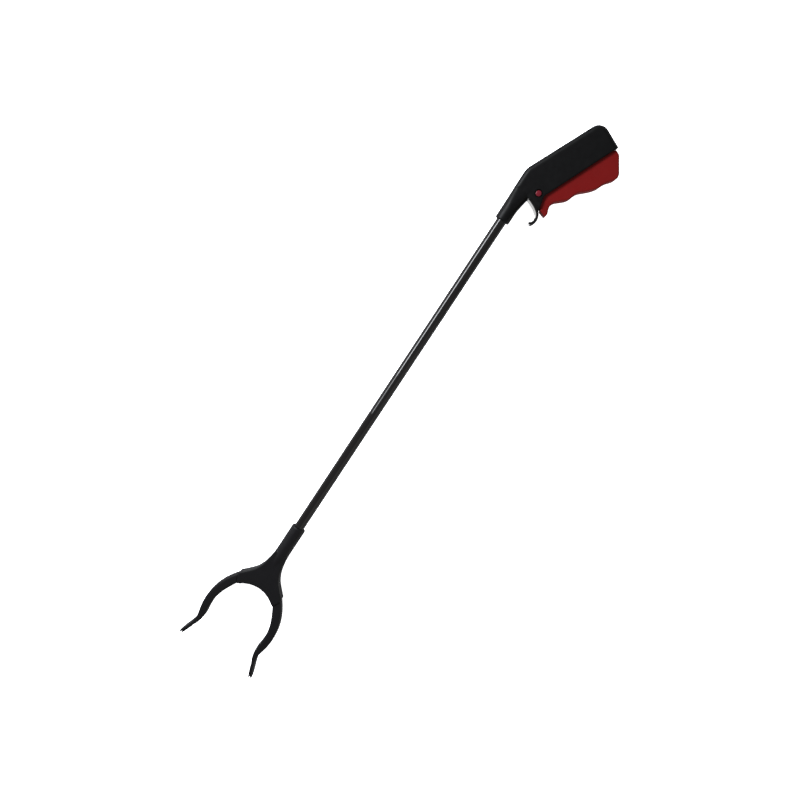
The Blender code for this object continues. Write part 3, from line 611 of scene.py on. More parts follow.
class Finish:
    """A Principled material with helpers for its node tree."""

    def __init__(self, name, **sockets):
        self.material = bpy.data.materials.new(name)
        self.material.use_nodes = True
        self.tree = self.material.node_tree
        self.shader = self.tree.nodes["Principled BSDF"]
        for socket, value in sockets.items():
            self.shader.inputs[socket.replace("_", " ")].default_value = value
        self.place = self.tree.nodes.new("ShaderNodeTexCoord").outputs["Object"]
        self.relief = None

    def link(self, a, b):
        """Join an output to an input."""
        self.tree.links.new(a, b)

    def stretched(self, scale, turn=0.0):
        """Object coordinates with their own scale on each axis."""
        mapping = self.tree.nodes.new("ShaderNodeMapping")
        mapping.inputs["Scale"].default_value = scale
        mapping.inputs["Rotation"].default_value = (0.0, 0.0, turn)
        self.link(self.place, mapping.inputs["Vector"])
        return mapping.outputs["Vector"]

    def noise(self, scale, detail=3.0, place=None, distortion=0.0):
        """Noise pattern; scale counts its cells in one metre."""
        node = self.tree.nodes.new("ShaderNodeTexNoise")
        node.inputs["Scale"].default_value = scale
        node.inputs["Detail"].default_value = detail
        node.inputs["Distortion"].default_value = distortion
        self.link(place or self.place, node.inputs["Vector"])
        return node.outputs["Fac"]

    def cells(self, scale, place=None):
        """Distance to the nearest of many scattered points."""
        node = self.tree.nodes.new("ShaderNodeTexVoronoi")
        node.inputs["Scale"].default_value = scale
        self.link(place or self.place, node.inputs["Vector"])
        return node.outputs["Distance"]

    def ramp(self, value, low, high, to_low=0.0, to_high=1.0):
        """Map a range of value onto another, held at its ends."""
        node = self.tree.nodes.new("ShaderNodeMapRange")
        for socket, number in zip(
            ("From Min", "From Max", "To Min", "To Max"), (low, high, to_low, to_high)
        ):
            node.inputs[socket].default_value = number
        self.link(value, node.inputs["Value"])
        return node.outputs["Result"]

    def mix(self, share, first, second):
        """Mix two colours; either may be a value or another node's output."""
        node = self.tree.nodes.new("ShaderNodeMix")
        node.data_type = "RGBA"
        self.link(share, node.inputs["Factor"])
        for index, colour in ((6, first), (7, second)):
            if isinstance(colour, bpy.types.NodeSocket):
                self.link(colour, node.inputs[index])
            else:
                node.inputs[index].default_value = colour
        return node.outputs[2]

    def times(self, first, second):
        """Multiply two values."""
        node = self.tree.nodes.new("ShaderNodeMath")
        node.operation = "MULTIPLY"
        self.link(first, node.inputs[0])
        self.link(second, node.inputs[1])
        return node.outputs[0]

    def bump(self, height, strength, distance):
        """Add a layer of relief on top of the layers before it."""
        node = self.tree.nodes.new("ShaderNodeBump")
        node.inputs["Strength"].default_value = strength
        node.inputs["Distance"].default_value = distance
        self.link(height, node.inputs["Height"])
        if self.relief:
            self.link(self.relief, node.inputs["Normal"])
        self.relief = node.outputs["Normal"]

    def done(self, colour, roughness, skin=False):
        """Connect colour, roughness and relief; a skin is a coat that shares them."""
        self.link(colour, self.shader.inputs["Base Color"])
        self.link(roughness, self.shader.inputs["Roughness"])
        if self.relief:
            self.link(self.relief, self.shader.inputs["Normal"])
        if skin:
            self.link(roughness, self.shader.inputs["Coat Roughness"])
            self.link(self.relief, self.shader.inputs["Coat Normal"])
        return self.material


def shade(colour, factor):
    """A lighter or darker version of a colour."""
    return (*(min(1.0, c * factor) for c in colour[:3]), 1.0)


def moulded(name, colour, roughness, grain, depth, **sockets):
    """Moulded plastic: spark-eroded grain, faint flow marks, dust and rub marks."""
    made = Finish(name, **sockets)
    flow = made.noise(26.0, 2.0, distortion=0.6)
    fine = made.noise(grain, 3.0)
    rubbed = made.ramp(made.noise(60.0, 5.0), 0.52, 0.72)
    scratches = made.noise(900.0, 2.0, made.stretched((0.05, 1.0, 1.0), 0.5))
    rubs = made.times(rubbed, made.ramp(scratches, 0.6, 0.75))
    base = made.mix(made.ramp(flow, 0.3, 0.7), shade(colour, 0.88), shade(colour, 1.12))
    base = made.mix(made.ramp(fine, 0.35, 0.7), base, shade(colour, 1.25))
    base = made.mix(rubs, base, shade(colour, 1.9))
    gloss = made.ramp(made.noise(140.0, 4.0), 0.3, 0.7, roughness - 0.05, roughness + 0.05)
    made.bump(fine, 0.35, depth)
    made.bump(flow, 0.12, 0.0002)
    return made.done(base, gloss, skin="Coat_Weight" in sockets)


def thin_skin(weight):
    """Sockets of a plastic that shines only through a weak coat."""
    return {"Specular_IOR_Level": 0.0, "Coat_Weight": weight}


def enamel(name, colour):
    """Glossy enamel on a drawn tube: faint draw lines under a clear coat."""
    made = Finish(
        name,
        Specular_IOR_Level=0.0,
        Coat_Weight=0.08,
        Coat_Roughness=0.04,
        Coat_IOR=2.4,
    )
    drawn = made.noise(1500.0, 3.0, made.stretched((0.012, 1.0, 1.0)))
    peel = made.noise(420.0, 1.0)
    specks = made.ramp(made.cells(900.0), 0.0, 0.09, 1.0, 0.0)
    base = made.mix(made.ramp(drawn, 0.3, 0.7), shade(colour, 0.8), shade(colour, 1.3))
    base = made.mix(specks, base, shade(colour, 3.0))
    gloss = made.ramp(drawn, 0.3, 0.7, 0.35, 0.45)
    made.bump(drawn, 0.10, 0.00002)
    made.bump(peel, 0.10, 0.00003)
    return made.done(base, gloss)


def rubber(name, colour):
    """Matt rubber with a dusty, slightly uneven skin."""
    made = Finish(name, Specular_IOR_Level=0.08, Sheen_Weight=0.01, Sheen_Roughness=0.5)
    fine = made.noise(3200.0, 4.0)
    dusty = made.ramp(made.noise(220.0, 4.0), 0.45, 0.75)
    base = made.mix(dusty, shade(colour, 0.85), shade(colour, 1.9))
    gloss = made.ramp(fine, 0.3, 0.7, 0.62, 0.82)
    made.bump(fine, 0.4, 0.00004)
    return made.done(base, gloss)


def metal(name, colour, roughness, lines):
    """Plated steel with fine lines and cloudy plating."""
    made = Finish(name, Metallic=1.0, Anisotropic=0.25)
    brushed = made.noise(2600.0, 3.0, made.stretched(lines))
    cloud = made.noise(300.0, 3.0)
    base = made.mix(made.ramp(cloud, 0.3, 0.7), shade(colour, 0.82), shade(colour, 1.08))
    gloss = made.ramp(brushed, 0.25, 0.75, roughness - 0.08, roughness + 0.1)
    made.bump(brushed, 0.15, 0.00002)
    return made.done(base, gloss)


def nylon(name, colour):
    """Natural nylon, slightly see-through."""
    made = Finish(name, IOR=1.53, Subsurface_Weight=0.3, Subsurface_Scale=0.002)
    flow = made.noise(240.0, 3.0, distortion=0.5)
    base = made.mix(made.ramp(flow, 0.3, 0.7), shade(colour, 0.92), colour)
    gloss = made.ramp(made.noise(900.0, 2.0), 0.3, 0.7, 0.38, 0.5)
    made.bump(flow, 0.2, 0.0001)
    return made.done(base, gloss)


# Colour setting, roughness, grains in a metre, depth of the grain, shader sockets
MOULDED = {
    "housing_black": ("housing", 0.46, 1500.0, 0.00003, thin_skin(0.125)),
    "trigger_red": ("trigger", 0.42, 1700.0, 0.00002, thin_skin(0.10)),
    "pin_red": ("pin", 0.26, 1700.0, 0.00001, {"Specular_IOR_Level": 0.12}),
    "housing_polished": ("housing", 0.14, 1500.0, 0.00001, {"IOR": 1.6}),
    "jaw_charcoal": ("jaws", 0.50, 1200.0, 0.00005, thin_skin(0.16)),
}


def finish_of(slot):
    """The material of a record slot, made when it is first asked for."""
    found = bpy.data.materials.get("finish_" + slot)
    if found:
        return found
    colours = bpy.context.scene.reacher_finishes
    name = "finish_" + slot
    if slot in MOULDED:
        colour, roughness, grain, depth, sockets = MOULDED[slot]
        return moulded(name, getattr(colours, colour), roughness, grain, depth, **sockets)
    makers = {
        "tube_black": lambda: enamel(name, colours.tube),
        "pad_rubber": lambda: rubber(name, colours.pads),
        "steel": lambda: metal(name, colours.steel, 0.28, (0.05, 1.0, 1.0)),
        "nylon": lambda: nylon(name, colours.nylon),
    }
    return makers[slot]()


# ---------------------------------------------------------------- node trees


class Pattern:
    """A Geometry Nodes tree with named inputs, baked onto a mesh."""

    def __init__(self, name, **inputs):
        self.tree = bpy.data.node_groups.new(name, "GeometryNodeTree")
        face = self.tree.interface
        face.new_socket("Geometry", in_out="INPUT", socket_type="NodeSocketGeometry")
        self.sockets = {}
        for label, kind in inputs.items():
            socket = face.new_socket(
                label.replace("_", " "), in_out="INPUT", socket_type="NodeSocket" + kind
            )
            self.sockets[label] = socket.identifier
        face.new_socket("Geometry", in_out="OUTPUT", socket_type="NodeSocketGeometry")
        self.given = self.tree.nodes.new("NodeGroupInput").outputs
        self.result = self.tree.nodes.new("NodeGroupOutput").inputs["Geometry"]

    def value(self, label):
        """A named input of the tree."""
        return self.given[label.replace("_", " ")]

    def add(self, kind, settings=None, output=0, **inputs):
        """Add a node, set or link its inputs by name or as i0, i1, and return one output."""
        node = self.tree.nodes.new(kind)
        for key, setting in (settings or {}).items():
            setattr(node, key, setting)
        for label, source in inputs.items():
            numbered = label[0] == "i"
            socket = node.inputs[int(label[1:]) if numbered else label.replace("_", " ")]
            if isinstance(source, bpy.types.NodeSocket):
                self.tree.links.new(source, socket)
            else:
                socket.default_value = source
        return node.outputs[output]

    def maths(self, operation, a, b):
        """One arithmetic step on two values or outputs."""
        return self.add("ShaderNodeMath", {"operation": operation}, i0=a, i1=b)

    def point(self, x=0.0, y=0.0, z=0.0):
        """A vector from three values or outputs."""
        return self.add("ShaderNodeCombineXYZ", X=x, Y=y, Z=z)

    def solid(self, operation, first, second):
        """Boolean of two closed meshes; a union takes both at its second input."""
        node = self.tree.nodes.new("GeometryNodeMeshBoolean")
        node.solver = "MANIFOLD"
        node.operation = operation
        indices = (0, 1) if operation == "DIFFERENCE" else (1, 1)
        for part, index in zip((first, second), indices):
            self.tree.links.new(part, node.inputs[index])
        return node.outputs[0]

    def close(self, geometry, material):
        """End the tree in Realize Instances and Set Material."""
        real = self.add("GeometryNodeRealizeInstances", Geometry=geometry)
        real = self.add("GeometryNodeSetMaterial", Geometry=real, Material=material)
        self.tree.links.new(real, self.result)

    def bake_on(self, made, **values):
        """Run the tree on an object with these input values and keep its mesh."""
        modifier = made.modifiers.new("pattern", "NODES")
        modifier.node_group = self.tree
        for label, value in values.items():
            modifier[self.sockets[label]] = value
        return bake(made)


def lathe_curve(tree, length, radius, shape, count):
    """Solid along +Z whose radius follows a drawn curve."""
    top = tree.point(z=length)
    line = tree.add("GeometryNodeCurvePrimitiveLine", Start=(0.0, 0.0, 0.0), End=top)
    line = tree.add("GeometryNodeResampleCurve", Curve=line, Count=count)
    along = tree.add("GeometryNodeSplineParameter")
    node = tree.tree.nodes.new("ShaderNodeFloatCurve")
    drawn = node.mapping.curves[0]
    for (x, y), known in zip(shape, list(drawn.points)[:2]):
        known.location = (x, y)
    for x, y in shape[2:]:
        drawn.points.new(x, y)
    node.mapping.update()
    tree.tree.links.new(along, node.inputs["Value"])
    size = tree.maths("MULTIPLY", node.outputs[0], radius)
    ring = tree.add("GeometryNodeCurvePrimitiveCircle", Resolution=28, Radius=1.0)
    return tree.add(
        "GeometryNodeCurveToMesh", Curve=line, Profile_Curve=ring, Scale=size, Fill_Caps=True
    )


def screw_tree():
    """Pan-head screws with a cross recess, one at each point, heads towards -Z."""
    tree = Pattern(
        "pan_head_screws",
        Head_Radius="Float",
        Head_Height="Float",
        Shank_Radius="Float",
        Length="Float",
        Recess_Width="Float",
        Finish="Material",
    )
    head_radius = tree.value("Head_Radius")
    dome = [(0.0, 0.50), (1.0, 1.0), (0.12, 0.74), (0.3, 0.89), (0.6, 0.98)]
    head = lathe_curve(tree, tree.value("Head_Height"), head_radius, dome, 10)
    taper = [(0.0, 1.0), (1.0, 0.3), (0.82, 1.0)]
    shank = lathe_curve(tree, tree.value("Length"), tree.value("Shank_Radius"), taper, 24)
    body = tree.solid("UNION", head, shank)
    reach = tree.maths("MULTIPLY", head_radius, 1.24)
    depth = tree.maths("MULTIPLY", tree.value("Head_Height"), 1.2)
    width = tree.value("Recess_Width")
    arm = tree.add("GeometryNodeMeshCube", Size=tree.point(reach, width, depth))
    other = tree.add("GeometryNodeMeshCube", Size=tree.point(width, reach, depth))
    body = tree.solid("DIFFERENCE", body, tree.solid("UNION", arm, other))
    placed = tree.add("GeometryNodeInstanceOnPoints", Points=tree.value("Geometry"), Instance=body)
    tree.close(placed, tree.value("Finish"))
    return tree


def coil_tree():
    """Round wire wound into a compression spring along +X."""
    tree = Pattern(
        "compression_spring",
        Coil_Radius="Float",
        Wire_Radius="Float",
        Length="Float",
        Turns="Float",
        Finish="Material",
    )
    radius = tree.value("Coil_Radius")
    coil = tree.add(
        "GeometryNodeCurveSpiral",
        Resolution=36,
        Rotations=tree.value("Turns"),
        Start_Radius=radius,
        End_Radius=radius,
        Height=tree.value("Length"),
    )
    thick = tree.value("Wire_Radius")
    wire = tree.add("GeometryNodeCurvePrimitiveCircle", Resolution=12, Radius=thick)
    coil = tree.add("GeometryNodeCurveToMesh", Curve=coil, Profile_Curve=wire, Fill_Caps=True)
    coil = tree.add("GeometryNodeTransform", Geometry=coil, Rotation=(0.0, math.pi / 2.0, 0.0))
    placed = tree.add("GeometryNodeInstanceOnPoints", Points=tree.value("Geometry"), Instance=coil)
    tree.close(placed, tree.value("Finish"))
    return tree


def rib_tree():
    """Round ribs across a path, evenly spaced along it."""
    tree = Pattern(
        "pad_ribs",
        Count="Int",
        Rib_Radius="Float",
        Half_Width="Float",
        Finish="Material",
    )
    path = tree.add("GeometryNodeMeshToCurve", Mesh=tree.value("Geometry"))
    path = tree.add("GeometryNodeResampleCurve", Curve=path, Count=tree.value("Count"))
    width = tree.maths("MULTIPLY", tree.value("Half_Width"), 2.0)
    rib = tree.add(
        "GeometryNodeMeshCylinder",
        {"fill_type": "NGON"},
        Vertices=12,
        Radius=tree.value("Rib_Radius"),
        Depth=width,
    )
    placed = tree.add("GeometryNodeInstanceOnPoints", Points=path, Instance=rib)
    tree.close(placed, tree.value("Finish"))
    return tree


def points_object(name, points, linked=False):
    """Mesh of loose points, or of one line through them, for a node tree."""
    bm = bmesh.new()
    made = [bm.verts.new(p) for p in points]
    if linked:
        for a, b in zip(made, made[1:]):
            bm.edges.new((a, b))
    bm.transform(TO_FRAME)
    mesh = bpy.data.meshes.new(name)
    bm.to_mesh(mesh)
    bm.free()
    found = bpy.data.objects.new(name, mesh)
    bpy.context.scene.collection.objects.link(found)
    return found


# ---------------------------------------------------------------- handle


def neck():
    """Outside of the socket, opening from a round to a flat-sided section."""
    rings = []
    length, trim = SOCKET_EASE
    stations = [SOCKET_FRONT, SOCKET_FRONT + length, SOCKET_MIDDLE, NECK_START]
    span = NECK_END - NECK_START
    stations += [NECK_START + span * k / NECK_STEPS for k in range(1, NECK_STEPS + 1)]
    for x in stations:
        grow = min(1.0, max(0.0, (x - NECK_START) / span))
        grow = grow * grow * (3.0 - 2.0 * grow)
        radius = SOCKET_RADIUS - (trim if x == SOCKET_FRONT else 0.0)
        top = radius + (GRIP_TOP - SOCKET_RADIUS) * grow
        under = radius + NECK_DROP * grow
        side = radius + (HALF_WIDTH - 0.1 - SOCKET_RADIUS) * grow
        power = 2.0 / (2.0 + NECK_SQUARENESS * grow)
        ring = []
        for i in range(NECK_SIDES):
            angle = 2.0 * math.pi * i / NECK_SIDES
            c, s = math.cos(angle), math.sin(angle)
            height = top if c > 0 else under
            y = height * math.copysign(abs(c) ** power, c)
            z = side * math.copysign(abs(s) ** power, s)
            ring.append((x, y, z))
        rings.append(ring)
    return skin_rings("neck", rings)


def housing_outside(sizes):
    """The closed outer shape of the handle, its socket and its hook."""
    made = plate("housing", fillet(GRIP_CORNERS), -HALF_WIDTH, HALF_WIDTH, EDGE_RADIUS, 8)
    join(made, neck())
    cut(made, plate("lip", fillet(LIP_CORNERS), -PLATE_REACH, PLATE_REACH))
    hook = [(x, y, HOOK_THICKNESS, HOOK_HALF_WIDTH) for x, y in spline(HOOK_PATH)]
    join(made, ribbon("hook", hook, 0.25))
    return mould(made, sizes.voxel, sizes.blend_passes)


def housing_half(outside, name, side):
    """Hollow one half of the handle and drill it."""
    half = copy_of(outside, name)
    cut(half, parting(side))
    room = HALF_WIDTH - SHELL_WALL
    inner = fillet(inset(GRIP_CORNERS, SHELL_WALL))
    cut(half, plate("room", inner, -room, room, ROOM_EDGE_RADIUS))
    cut(half, rod("bore", SOCKET_FRONT - 5.0, BORE_END, TUBE_RADIUS + GAP, sides=64))
    near, out = sorted((side * GAP / 2.0, side * (HALF_WIDTH - 1.0)))
    for spot in HOUSING_SCREWS:
        join(half, rod("boss", near, out, BOSS_RADIUS, "Z", spot, 32))
    join(half, rod("hub", *sorted(side * z for z in HUB_SEAT), HUB_RADIUS, "Z", PIVOT))
    drill_screws(half, side, HOUSING_SCREWS, HALF_WIDTH, SCREW_RADIUS, SCREW_HEAD_RADIUS)
    cut(half, rod("pin_hole", -CUT_REACH, CUT_REACH, PIN_RADIUS + GAP, "Z", PIVOT))
    seat = sorted((side * PIN_SEAT_FLOOR, side * CUT_REACH))
    cut(half, rod("pin_seat", *seat, PIN_HEAD_RADIUS + PIN_RING, "Z", PIVOT, 64))
    if side < 0:
        cut(half, rod("screw_hole", *SET_SCREW_HOLE, SCREW_RADIUS + GAP, "Z", SOCKET_SCREW, 32))
    return half


class REACHER_OT_housing(bpy.types.Operator):
    """Make both halves of the black handle housing with its hook"""

    bl_idname = "reacher.housing"
    bl_label = "Handle housing"

    def execute(self, context):
        outside = housing_outside(context.scene.reacher_sizes)
        for name, side in (("left", 1), ("right", -1)):
            half = housing_half(outside, "housing_" + name, side)
            material = finish_of("housing_black")
            finish(half, material, "frame", "housing_black", "handle_shell_" + name)
            half.data.materials.append(finish_of("housing_polished"))
            for face in half.data.polygons:
                x, y = face.center.x / MM, (face.center.y - AXIS.y) / MM
                on_hook = x < HOOK_REAR and y < HOOK_TOP
                upright = abs(face.normal.z) < HOOK_LEAN
                if on_hook and upright and face.normal.dot(HOOK_INSIDE) > HOOK_FACING:
                    face.material_index = 1
        bpy.data.objects.remove(outside, do_unlink=True)
        return {"FINISHED"}


# ---------------------------------------------------------------- trigger


def trigger_outline():
    """Closed outline of the trigger, waves first, then round the hub."""
    return spline(TRIGGER_WAVES, 6) + TRIGGER_REAR + TRIGGER_TOP + TRIGGER_SPUR


class REACHER_OT_trigger(bpy.types.Operator):
    """Make the red trigger and its pivot pin"""

    bl_idname = "reacher.trigger"
    bl_label = "Trigger and pivot pin"

    def execute(self, context):
        sizes = context.scene.reacher_sizes
        wide = TRIGGER_HALF_WIDTH
        made = plate("trigger_grip", trigger_outline(), -wide, wide)
        mould(made, sizes.voxel, sizes.blend_passes + 2)
        room = wide - TRIGGER_WALL
        cut(made, plate("hollow", fillet(TRIGGER_HOLLOW), -room, room))
        join(made, rod("hub", -wide, wide, HUB_RADIUS, "Z", PIVOT))
        thick = ARM_HALF_THICKNESS
        join(made, bar("arm", PIVOT, DRIVE_PIN, ARM_HALF_BREADTH, -thick, thick))
        cut(made, rod("pin_hole", -CUT_REACH, CUT_REACH, PIN_RADIUS + GAP, "Z", PIVOT))
        hole = DRIVE_PIN_RADIUS + GAP
        cut(made, rod("drive_hole", -CUT_REACH, CUT_REACH, hole, "Z", DRIVE_PIN))
        finish(made, finish_of("trigger_red"), "trigger", "trigger_red", "trigger")

        face = HALF_WIDTH - GAP
        head = PIN_HEAD_RADIUS - PIN_RING / 2.0
        profile = [(face, 0.001)]
        for k in range(1, 10):
            lean = math.radians(10.0 * k)
            drop = PIN_DOME * (1.0 - math.cos(lean))
            profile.append((face - drop, head * math.sin(lean)))
        profile += [(face - PIN_HEAD_HEIGHT, head), (face - PIN_HEAD_HEIGHT, PIN_RADIUS)]
        profile = [(-z, r) for z, r in profile] + [(z, r) for z, r in reversed(profile)]
        pin = turned("pivot_pin", profile, "Z", PIVOT, 64)
        finish(pin, finish_of("pin_red"), "frame", "trigger_red", "trigger_pivot_pin")
        return {"FINISHED"}


# ---------------------------------------------------------------- tube


class REACHER_OT_tube(bpy.types.Operator):
    """Make the glossy black tube"""

    bl_idname = "reacher.tube"
    bl_label = "Tube"

    def execute(self, context):
        inner, ease = TUBE_RADIUS - TUBE_WALL, 0.25
        profile = [(TUBE_FRONT + ease, inner), (TUBE_FRONT, inner + ease)]
        profile += [(TUBE_FRONT, TUBE_RADIUS - ease), (TUBE_FRONT + ease, TUBE_RADIUS)]
        profile += [(TUBE_REAR - ease, TUBE_RADIUS), (TUBE_REAR, TUBE_RADIUS - ease)]
        profile += [(TUBE_REAR, inner + ease), (TUBE_REAR - ease, inner)]
        made = turned("painted_tube", profile, sides=128, closed=True)
        for spot in (SOCKET_SCREW, COLLAR_SCREW):
            cut(made, rod("hole", -10.0, -3.0, SCREW_RADIUS + GAP, "Z", spot, 32))
        finish(made, finish_of("tube_black"), "frame", "tube_black", "tube")
        return {"FINISHED"}


# ---------------------------------------------------------------- head


def seam_tip(pivot):
    """Point where the seam round a jaw pivot meets the arc between the jaws."""
    a, b = Vector(pivot), Vector((FRONT_ARC_CENTRE, 0.0))
    apart = (b - a).length
    along = (apart**2 + SEAM_RADIUS**2 - FRONT_ARC_RADIUS**2) / (2.0 * apart)
    across = math.sqrt(SEAM_RADIUS**2 - along**2)
    heading = (b - a) / apart
    return tuple(a + heading * along + Vector((heading.y, -heading.x)) * across)


def head_outline():
    """Outline of the flared plate, closed by the arc between the jaws."""
    pivot = JAW_PIVOTS["upper"]
    tip = seam_tip(pivot)
    seam_end = math.atan2(tip[1] - pivot[1], tip[0] - pivot[0])
    upper = spline(HEAD_FLARE, 5)
    upper += arc(pivot, SEAM_RADIUS, math.radians(93.0), seam_end, 12)
    turn = math.atan2(tip[1], tip[0] - FRONT_ARC_CENTRE)
    upper += arc((FRONT_ARC_CENTRE, 0.0), FRONT_ARC_RADIUS, turn, 0.0, 16)[1:]
    return upper + mirrored(upper[:-1])[::-1]


def head_room():
    """Outline of the space inside the head, open at the front."""
    flare = [p for p in spline(HEAD_FLARE, 5) if p[0] < -256.0]
    flare.append((-300.0, flare[-1][1] + 11.0))
    upper = []
    for point, along in zip(flare, headings(flare)):
        upper.append(tuple(Vector(point) + Vector((-along.y, along.x)) * HEAD_WALL))
    upper.append((-345.0, upper[-1][1]))
    return upper + mirrored(upper)[::-1]


def head_outside(sizes):
    """The closed outer shape of the head and its collar."""
    made = plate("head", head_outline(), -HEAD_HALF_WIDTH, HEAD_HALF_WIDTH, HEAD_EDGE, 5)
    collar = [
        (COLLAR_REAR, COLLAR_RADIUS - 1.0),
        (COLLAR_REAR - 1.0, COLLAR_RADIUS),
        (COLLAR_FRONT, COLLAR_RADIUS),
        (COLLAR_FRONT - 9.0, COLLAR_RADIUS - 0.7),
        (COLLAR_FRONT - 18.0, HEAD_HALF_WIDTH - 0.4),
    ]
    join(made, turned("collar", collar, sides=96))
    return mould(made, sizes.voxel, max(2, sizes.blend_passes // 2))


def head_half(outside, name, side):
    """Hollow one cover of the head and drill it."""
    half = copy_of(outside, name)
    cut(half, parting(side))
    inside = HEAD_HALF_WIDTH - HEAD_WALL
    cut(half, plate("room", head_room(), -inside, inside))
    cut(half, rod("bore", COLLAR_REAR + 5.0, TUBE_FRONT - 0.5, TUBE_RADIUS + GAP, sides=64))
    cut(half, rod("rod_way", TUBE_FRONT + 2.0, -262.0, 3.0))
    near, out = sorted((side * GAP / 2.0, side * (HEAD_HALF_WIDTH - 1.0)))
    for spot in HEAD_SCREWS:
        join(half, rod("boss", near, out, HEAD_BOSS_RADIUS, "Z", spot, 32))
    shank, head = HEAD_SCREW_RADIUS, HEAD_SCREW_HEAD_RADIUS
    drill_screws(half, side, HEAD_SCREWS, HEAD_HALF_WIDTH, shank, head)
    for spot in JAW_PIVOTS.values():
        low, high = (0.0, HEAD_HALF_WIDTH - 1.0) if side > 0 else (-HEAD_HALF_WIDTH - 1.0, 0.0)
        cut(half, rod("pin_hole", low, high, JAW_PIVOT_RADIUS + GAP, "Z", spot, 32))
    if side < 0:
        cut(half, rod("screw_hole", *SET_SCREW_HOLE, SCREW_RADIUS + GAP, "Z", COLLAR_SCREW, 32))
    return half


class REACHER_OT_head(bpy.types.Operator):
    """Make both covers of the head that holds the jaws"""

    bl_idname = "reacher.head"
    bl_label = "Head covers"

    def execute(self, context):
        outside = head_outside(context.scene.reacher_sizes)
        for name, side in (("left", 1), ("right", -1)):
            half = head_half(outside, "head_" + name, side)
            finish(half, finish_of("jaw_charcoal"), "frame", "jaw_charcoal", "head_cover_" + name)
        bpy.data.objects.remove(outside, do_unlink=True)
        return {"FINISHED"}


# ---------------------------------------------------------------- jaws


def jaw_solid(label, sign, sizes):
    """A curved finger blended into the flat tongue that enters the head."""
    pivot = JAW_PIVOTS[label]
    spine = spline([(x, sign * y, t, w) for x, y, t, w in JAW_SPINE])
    made = ribbon("jaw_finger_" + label, spine, 0.42)
    mould(made, sizes.voxel * 0.8, sizes.blend_passes // 2)
    shoulder = SEAM_RADIUS + SEAM_GAP
    cut(made, rod("shoulder", -CUT_REACH, CUT_REACH, shoulder, "Z", pivot, 128))
    corners = [(pivot[0] + x, pivot[1] + sign * y, r) for x, y, r in ROOT_OUTLINE]
    thick = ROOT_HALF_THICKNESS
    root = plate("root", fillet(corners), -thick, thick)
    join(root, rod("hub", -thick, thick, ROOT_HUB_RADIUS, "Z", pivot))
    join(made, root)
    for spot, radius in ((pivot, JAW_PIVOT_RADIUS), (JAW_DRIVES[label], JAW_DRIVE_RADIUS)):
        cut(made, rod("pin_hole", -CUT_REACH, CUT_REACH, radius + GAP, "Z", spot, 32))
    return made


class REACHER_OT_jaws(bpy.types.Operator):
    """Make the two curved jaws"""

    bl_idname = "reacher.jaws"
    bl_label = "Jaws"

    def execute(self, context):
        for label, sign in (("upper", 1.0), ("lower", -1.0)):
            made = jaw_solid(label, sign, context.scene.reacher_sizes)
            body = "jaw_" + label
            finish(made, finish_of("jaw_charcoal"), body, "jaw_charcoal", "jaw_" + label)
        return {"FINISHED"}


def pad_spine(sign):
    """Middle line of a tip pad, on the inner face of its jaw."""
    spine = spline([(x, y, t, w) for x, y, t, w in JAW_SPINE], 3)
    inner = [p for p in spine if PAD_TIP < p[0] < PAD_HEEL]
    found = []
    for (x, y, thickness, _), along in zip(inner, headings(inner)):
        away = Vector((-along.y, along.x))
        if away.y > 0.0:
            away.negate()
        centre = Vector((x, y)) + away * (thickness / 2.0 + GAP + PAD_THICKNESS / 2.0)
        found.append((centre.x, sign * centre.y))
    return found


class REACHER_OT_pads(bpy.types.Operator):
    """Make the ribbed rubber pads inside the jaw tips"""

    bl_idname = "reacher.pads"
    bl_label = "Tip pads"

    def execute(self, context):
        sizes = context.scene.reacher_sizes
        material = finish_of("pad_rubber")
        tree = rib_tree()
        for label, sign in (("upper", 1.0), ("lower", -1.0)):
            line = spline(pad_spine(sign), 6)
            last = len(line) - 1
            rings = []
            for i, ((x, y), along) in enumerate(zip(line, headings(line))):
                share = math.sin(math.pi * (0.05 + 0.9 * i / last)) ** 0.6
                away = Vector((-along.y, along.x))
                deep = 0.5 * PAD_THICKNESS * share * 0.85
                rings.append(oval(x, y, away, deep, PAD_HALF_WIDTH * share, 0.6, 48))
            made = skin_rings("pad_" + label, rings)
            path = [(x, y, 0.0) for x, y in line[last // 4 : -(last // 4)]]
            ribs = points_object("ribs", path, linked=True)
            tree.bake_on(
                ribs,
                Count=sizes.pad_ribs,
                Rib_Radius=0.45 * PAD_THICKNESS * MM,
                Half_Width=PAD_HALF_WIDTH * 0.62 * MM,
                Finish=material,
            )
            join(made, ribs)
            finish(made, material, "jaw_" + label, "pad_rubber", "tip_pad_" + label)
        return {"FINISHED"}


# ---------------------------------------------------------------- metal pieces


